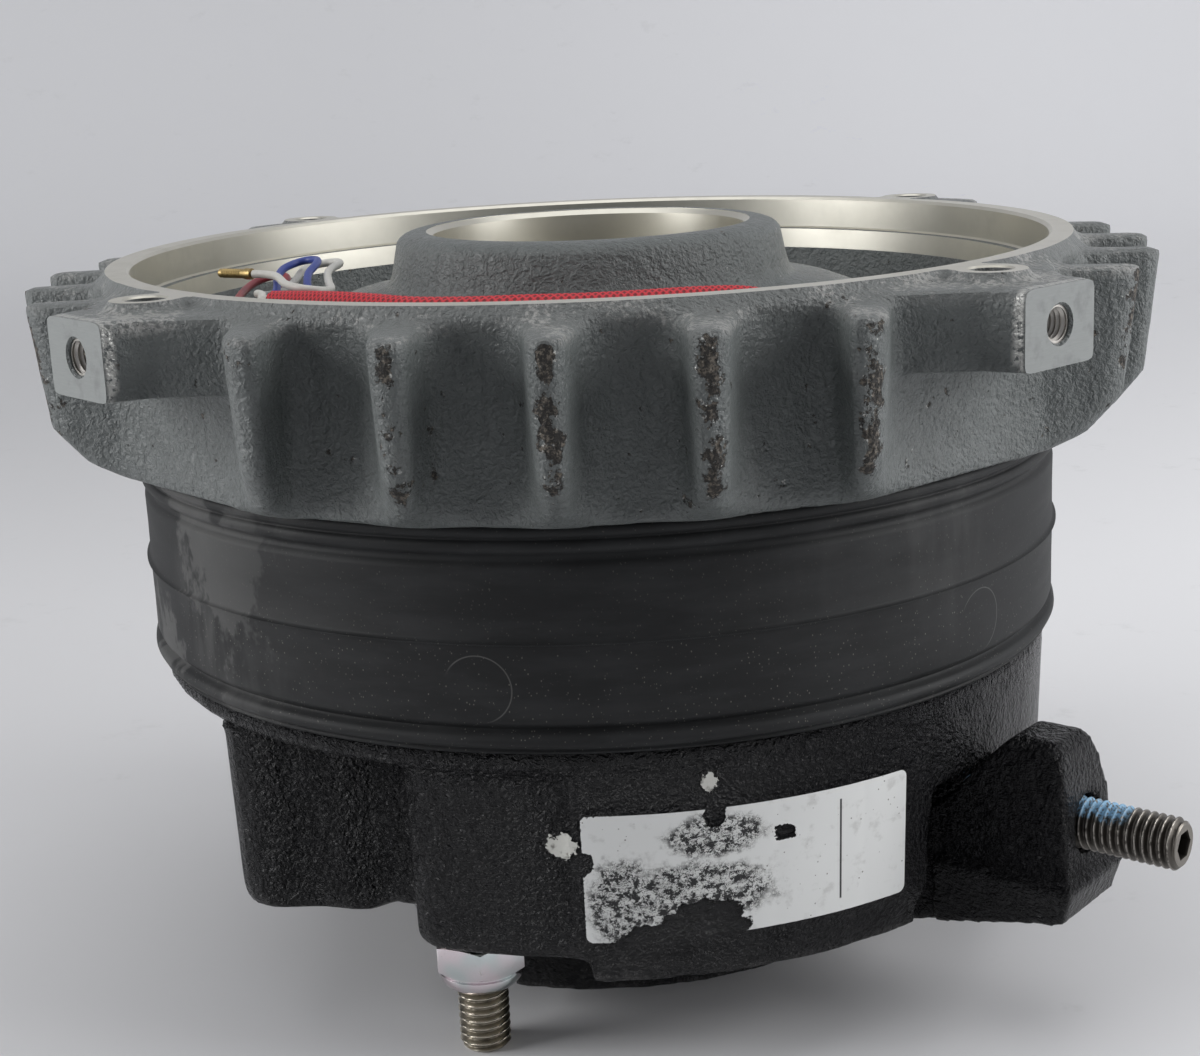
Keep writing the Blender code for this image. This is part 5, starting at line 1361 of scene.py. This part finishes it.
class BRAKE_OT_coil_body(bpy.types.Operator):
    """Black cast coil body"""

    bl_idname = "brake.coil_body"
    bl_label = "Coil body"

    # Radius of the flange, from which the outline's insets count, in mm
    FLANGE = 75.0
    # Outline of the lobe at the left: azimuth, radius in mm
    LEFT_LOBE = (
        (-118.0, 67.6), (-108.0, 66.0), (-98.0, 63.6), (-85.0, 62.2), (-70.0, 62.0), (-62.0, 62.6),
        (-57.0, 64.6), (-54.0, 68.4), (-51.5, 72.4), (-50.0, 73.6), (-48.0, 73.8), (-46.0, 73.0),
        (-44.5, 71.6), (-43.0, 69.4), (-41.0, 67.4), (-39.0, 66.3), (-36.5, 65.2), (-34.5, 63.4),
        (-32.5, 61.8), (-30.0, 61.6),
    )

    def execute(self, context):
        piece = copy_of_node("coil_body", "cast_coil_body")
        cast(piece, sizes().body_grain * (1.0), 5)
        self.round_outline(piece)
        mark_edges(piece, 0.32 * MM)
        smooth_shaded(piece, 60.0)
        finished(piece, "stator", ["coil_body"], Finishes.get("black_cast"))
        return {"FINISHED"}

    def round_outline(self, piece):
        """Bends the flat strips of the frame's outline into one smooth curve."""
        ring = [(a, self.FLANGE - inset) for a, inset in BODY_OUTLINE]
        ring = [(-a, radius) for a, radius in ring[:0:-1]] + ring
        angles = np.radians([a for a, _ in ring])
        radii = np.array([radius for _, radius in ring]) * MM
        px, py = radii * np.cos(angles), radii * np.sin(angles)
        mesh = piece.data
        co = points_of(mesh)
        turn = math.radians(LEVER_AZ)
        out = co[:, 0] * math.sin(turn) - co[:, 1] * math.cos(turn)
        side = co[:, 0] * math.cos(turn) + co[:, 1] * math.sin(turn)
        angle, radius = np.arctan2(side, out), np.hypot(out, side)
        i = np.clip(np.searchsorted(angles, angle) - 1, 0, len(angles) - 2)
        ax, ay, bx, by = px[i], py[i], px[i + 1], py[i + 1]
        flat = (ax * by - ay * bx) / (np.cos(angle) * (by - ay) - np.sin(angle) * (bx - ax))
        t = (angle - angles[i]) / (angles[i + 1] - angles[i])
        here, there = radii[i], radii[i + 1]
        full = here + (there - here) * t * (0.5 + 0.5 * t * (3 - 2 * t))
        azimuth = np.degrees(angle) + LEVER_AZ
        azimuth = (azimuth + 180.0) % 360.0 - 180.0
        turns, reaches = np.array(self.LEFT_LOBE).T
        lobe = np.interp(azimuth, turns, reaches * MM)
        inside = (azimuth > turns[0]) & (azimuth < turns[-1])
        full = np.where(inside, lobe, full)
        hang = inside * ramp(azimuth + 54.0, 4.0) * ramp(-31.0 - azimuth, 4.0)
        co[:, 2] -= 1.6 * MM * hang * ramp(24.0 * MM - co[:, 2], 3.0 * MM)
        share = ramp(radius - 0.86 * flat, 0.1 * flat)
        share *= ramp(RIM - 66.3 * MM - co[:, 2], 1.0 * MM)
        grow = 1.0 + (full / flat - 1.0) * share
        co[:, :2] *= grow[:, None]
        move_points(mesh, co)


class BRAKE_OT_label(bpy.types.Operator):
    """Torn paper label and its loose scraps on the coil body"""

    bl_idname = "brake.label"
    bl_label = "Label"

    # Radius of the body under the label, in mm
    BODY_RADIUS = 73.6

    def execute(self, context):
        size = sizes()
        body = bpy.data.objects["cast_coil_body"]
        for name, start, low, wide, tall, across, up, finish in (
            ("paper_label", 0.0, 24.1 * MM, size.label_width, size.label_height, 120, 48, "paper"),
            ("label_scrap_left", -4.2, 36.6 * MM, 5.2 * MM, 4.8 * MM, 20, 20, "scrap_paper"),
            ("label_scrap_top", 13.1, 46.0 * MM, 2.8 * MM, 3.6 * MM, 16, 20, "scrap_paper"),
        ):
            deselect()
            bpy.ops.mesh.primitive_grid_add(x_subdivisions=across, y_subdivisions=up, size=1.0)
            piece = fresh(name)
            sweep = math.degrees(wide / self.BODY_RADIUS / MM)
            for vertex in piece.data.vertices:
                x, y = vertex.co.x + 0.5, vertex.co.y + 0.5
                vertex.co = polar(75.4 * MM, start + sweep * x, low + tall * y)
            apply_modifier(
                piece, "SHRINKWRAP", target=body, wrap_method="NEAREST_SURFACEPOINT",
                wrap_mode="ABOVE_SURFACE", offset=0.14 * MM,
            )
            smooth_shaded(piece, 60.0)
            finished(piece, "stator", (), Finishes.get(finish))
        return {"FINISHED"}


class BRAKE_OT_lever(bpy.types.Operator):
    """Black cast hand release lever with its screw boss"""

    bl_idname = "brake.lever"
    bl_label = "Release lever"

    def execute(self, context):
        piece = copy_of_node("release_lever", "cast_release_lever")
        cast(piece, sizes().lever_grain * (1.0), 2)
        self.step_at_parting(piece)
        apply_modifier(piece, "SMOOTH", factor=0.5, iterations=1)
        mark_edges(piece, 0.26 * MM)
        smooth_shaded(piece, 60.0)
        finished(piece, "lever", ["release_lever"], Finishes.get("black_cast"))
        return {"FINISHED"}

    def step_at_parting(self, piece):
        """Leaves the boss a little fuller below the line where the mould parts."""
        out, aside = polar(1.0, LEVER_AZ), polar(1.0, LEVER_AZ + 90.0)
        for vertex in piece.data.vertices:
            co = vertex.co
            reach, offset = co.dot(out), co.dot(aside)
            if reach < 70.0 * MM:
                continue
            below = min(1.0, max(0.0, (RIM - 90.6 * MM - co.z) / (0.7 * MM)))
            wide = min(1.0, max(0.0, (abs(offset) - 4.0 * MM) / (2.0 * MM)))
            vertex.co += aside * math.copysign(1.1 * MM, offset) * below * wide
            far = min(1.0, max(0.0, (reach - 86.0 * MM) / (3.0 * MM)))
            vertex.co += out * 0.8 * MM * below * far


def threaded_rod(name, radius, length, pitch, high=math.inf, count=56):
    """Rod on the Z axis from 0 to length, with a 60 degree thread up to the height high."""
    chamfer = 0.75 * MM
    step = pitch / 14
    rows = [(0.0, 0.0), (radius - chamfer, 0.0)]
    z = step
    while z < length - step / 2:
        if z <= high + step or z > length - chamfer:
            edge = min(z, length - z)
            rows.append((radius - max(0.0, chamfer - edge), z))
        z += step
    rows += [(radius - chamfer, length), (0.0, length)]
    piece = turned(name, rows, count)
    depth = 0.60 * pitch
    crests = []
    for vertex in piece.data.vertices:
        co = vertex.co
        here = math.hypot(co.x, co.y)
        share = 1.0
        if here > 0.3 * radius and co.z <= high:
            turn = (co.z / pitch - math.atan2(co.y, co.x) / math.tau) % 1.0
            away = abs(2.0 * turn - 1.0)
            share = 1.0 - min(1.0, max(0.0, (away - 0.14) / 0.66))
            root = radius - depth * (1.0 - share)
            if here > root:
                co.x, co.y = co.x * root / here, co.y * root / here
        crests.append(share)
    store(piece.data, "crest", crests)
    return piece


class BRAKE_OT_set_screw(bpy.types.Operator):
    """Set screw with a hexagon socket and a thread lock patch"""

    bl_idname = "brake.set_screw"
    bl_label = "Set screw"

    def execute(self, context):
        size = sizes()
        long = 35.0 * MM
        piece = threaded_rod("socket_set_screw", size.stud_radius, long, size.coarse_pitch)
        deselect()
        bpy.ops.mesh.primitive_cylinder_add(vertices=6, radius=2.3 * MM, depth=8.0 * MM)
        combine(piece, placed(fresh("hexagon_key"), Matrix.Translation((0, 0, long))))
        placed(piece, pointing_out(LEVER_AZ, RIM - 83.5 * MM, 71.4 * MM))
        smooth_shaded(piece, 45.0)
        finished(piece, "screw", ["set_screw"], Finishes.get("black_oxide"))
        return {"FINISHED"}


class BRAKE_OT_studs(bpy.types.Operator):
    """Three mounting studs and the two studs that the lever pulls on"""

    bl_idname = "brake.studs"
    bl_label = "Studs"

    def execute(self, context):
        size = sizes()
        low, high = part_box("mounting_stud_1")
        long = high.z - low.z
        stud = threaded_rod("threaded_stud", size.stud_radius, long, size.coarse_pitch, 22 * MM)
        smooth_shaded(stud, 45.0)
        ring_of(
            stud, STUD_CIRCLE, STUD_AZIMUTHS, low.z,
            "stator", "mounting_stud", "stud_steel",
        )
        low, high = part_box("release_stud_1")
        long = high.z - low.z
        stud = threaded_rod(
            "threaded_release_stud", 2.9 * MM, long, size.fine_pitch, 16 * MM, 44,
        )
        smooth_shaded(stud, 45.0)
        ring_of(
            stud, RELEASE_CIRCLE, RELEASE_AZIMUTHS, low.z,
            "armature", "release_stud", "stud_steel",
        )
        return {"FINISHED"}


def lock_nut(name, flats, tall, hole):
    """Hexagon nut that hangs down from z 0, with the domed collar of its nylon insert."""
    corner = flats / math.sqrt(3.0)
    deselect()
    bpy.ops.mesh.primitive_cylinder_add(vertices=6, radius=corner, depth=tall)
    nut = fresh(name)
    turn = Matrix.Rotation(math.radians(7.0), 4, "Z")
    placed(nut, Matrix.Translation((0, 0, -tall / 2)) @ turn)
    hexagon = 0.60 * tall
    crown = turned("crown", [
        (0.0, 0.0), (flats * 0.50, 0.0), (corner * 1.02, -0.025 * flats),
        (corner * 1.02, -hexagon + 0.055 * flats), (flats * 0.495, -hexagon),
        (flats * 0.470, -hexagon - 0.02 * tall), (flats * 0.470, -hexagon - 0.05 * tall),
        (flats * 0.497, -hexagon - 0.07 * tall), (flats * 0.495, -0.74 * tall),
        (flats * 0.475, -0.82 * tall), (flats * 0.435, -0.90 * tall),
        (flats * 0.385, -0.96 * tall), (flats * 0.350, -0.99 * tall),
        (hole + 0.1 * MM, -0.99 * tall), (0.0, -0.99 * tall),
    ], 72)
    combine(nut, crown, "INTERSECT")
    above, below = 2 * MM, -tall - 2 * MM
    bore = turned("bore", [(0.0, above), (hole, above), (hole, below), (0.0, below)], 40)
    combine(nut, bore)
    apply_modifier(
        nut, "BEVEL", width=0.12 * MM, segments=2, limit_method="ANGLE",
        angle_limit=math.radians(35),
    )
    smooth_shaded(nut, 24.0)
    return nut


class BRAKE_OT_nuts(bpy.types.Operator):
    """Locking nuts and pressure rings on the studs"""

    bl_idname = "brake.nuts"
    bl_label = "Nuts"

    def execute(self, context):
        low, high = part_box("mounting_nut_1")
        nut = lock_nut("flanged_lock_nut", 13.0 * MM, high.z - low.z, 4.15 * MM)
        ring_of(
            nut, STUD_CIRCLE, STUD_AZIMUTHS, high.z, "stator", "mounting_nut", "zinc",
        )
        low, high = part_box("pressure_ring_1")
        inner, outer, bevel = 4.2 * MM, 7.0 * MM, 0.2 * MM
        ring = turned("turned_ring", [
            (inner, low.z + bevel), (inner + bevel, low.z),
            (outer - bevel, low.z), (outer, low.z + bevel),
            (outer, high.z - bevel), (outer - bevel, high.z),
            (inner + bevel, high.z), (inner, high.z - bevel),
        ], 56)
        smooth_shaded(ring, 40.0)
        ring_of(
            ring, STUD_CIRCLE, STUD_AZIMUTHS, 0.0,
            "stator", "pressure_ring", "plain_steel",
        )
        low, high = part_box("setting_nut_1")
        nut = lock_nut("small_lock_nut", 10.0 * MM, high.z - low.z, 3.1 * MM)
        ring_of(
            nut, RELEASE_CIRCLE, RELEASE_AZIMUTHS, high.z,
            "armature", "setting_nut", "zinc",
        )
        return {"FINISHED"}


class BRAKE_OT_inner_parts(bpy.types.Operator):
    """Finishes of the rotor, armature, coil and springs inside the brake"""

    bl_idname = "brake.inner_parts"
    bl_label = "Inner parts"

    def execute(self, context):
        finishes = {
            "friction_plate": "stainless", "coil": "resin", "lead_grommet": "rubber",
            "toothed_carrier": "plain_steel", "brake_disc": "plain_steel",
            "friction_lining_motor_side": "lining", "friction_lining_coil_side": "lining",
            "pressure_plate": "plain_steel", "damping_plate": "damping",
        }
        for name, node in NODES.items():
            if "spring" in name:
                finishes[name] = "spring_steel"
            if name in finishes:
                node.data.materials.clear()
                node.data.materials.append(Finishes.get(finishes[name]))
        return {"FINISHED"}


class BRAKE_PT_studio(bpy.types.Panel):
    """Lists the pieces and the studio"""

    bl_label = "Spring applied brake"
    bl_idname = "BRAKE_PT_studio"
    bl_space_type = "VIEW_3D"
    bl_region_type = "UI"
    bl_category = "Brake"

    def draw(self, context):
        for operator in OPERATORS:
            self.layout.operator(operator.bl_idname)
        for group in (sizes(), colours(), context.scene.brake_lights):
            box = self.layout.box()
            for name in group.__annotations__:
                box.prop(group, name)


OPERATORS = (
    BRAKE_OT_stage, BRAKE_OT_leads, BRAKE_OT_endshield, BRAKE_OT_collar, BRAKE_OT_coil_body,
    BRAKE_OT_label, BRAKE_OT_lever, BRAKE_OT_set_screw, BRAKE_OT_studs, BRAKE_OT_nuts,
    BRAKE_OT_inner_parts,
)
CLASSES = (BrakeSizes, BrakeColours, BrakeLights, *OPERATORS, BRAKE_PT_studio)


def register():
    for each in CLASSES:
        bpy.utils.register_class(each)
    bpy.types.Scene.brake_sizes = bpy.props.PointerProperty(type=BrakeSizes)
    bpy.types.Scene.brake_colours = bpy.props.PointerProperty(type=BrakeColours)
    bpy.types.Scene.brake_lights = bpy.props.PointerProperty(type=BrakeLights)


def unregister():
    del bpy.types.Scene.brake_lights
    del bpy.types.Scene.brake_colours
    del bpy.types.Scene.brake_sizes
    for each in reversed(CLASSES):
        bpy.utils.unregister_class(each)


def main():
    register()
    bpy.ops.brake.stage()
    bpy.ops.brake.leads()
    bpy.ops.brake.endshield()
    bpy.ops.brake.collar()
    bpy.ops.brake.coil_body()
    bpy.ops.brake.label()
    bpy.ops.brake.lever()
    bpy.ops.brake.set_screw()
    bpy.ops.brake.studs()
    bpy.ops.brake.nuts()
    bpy.ops.brake.inner_parts()


if __name__ == "__main__":
    main()
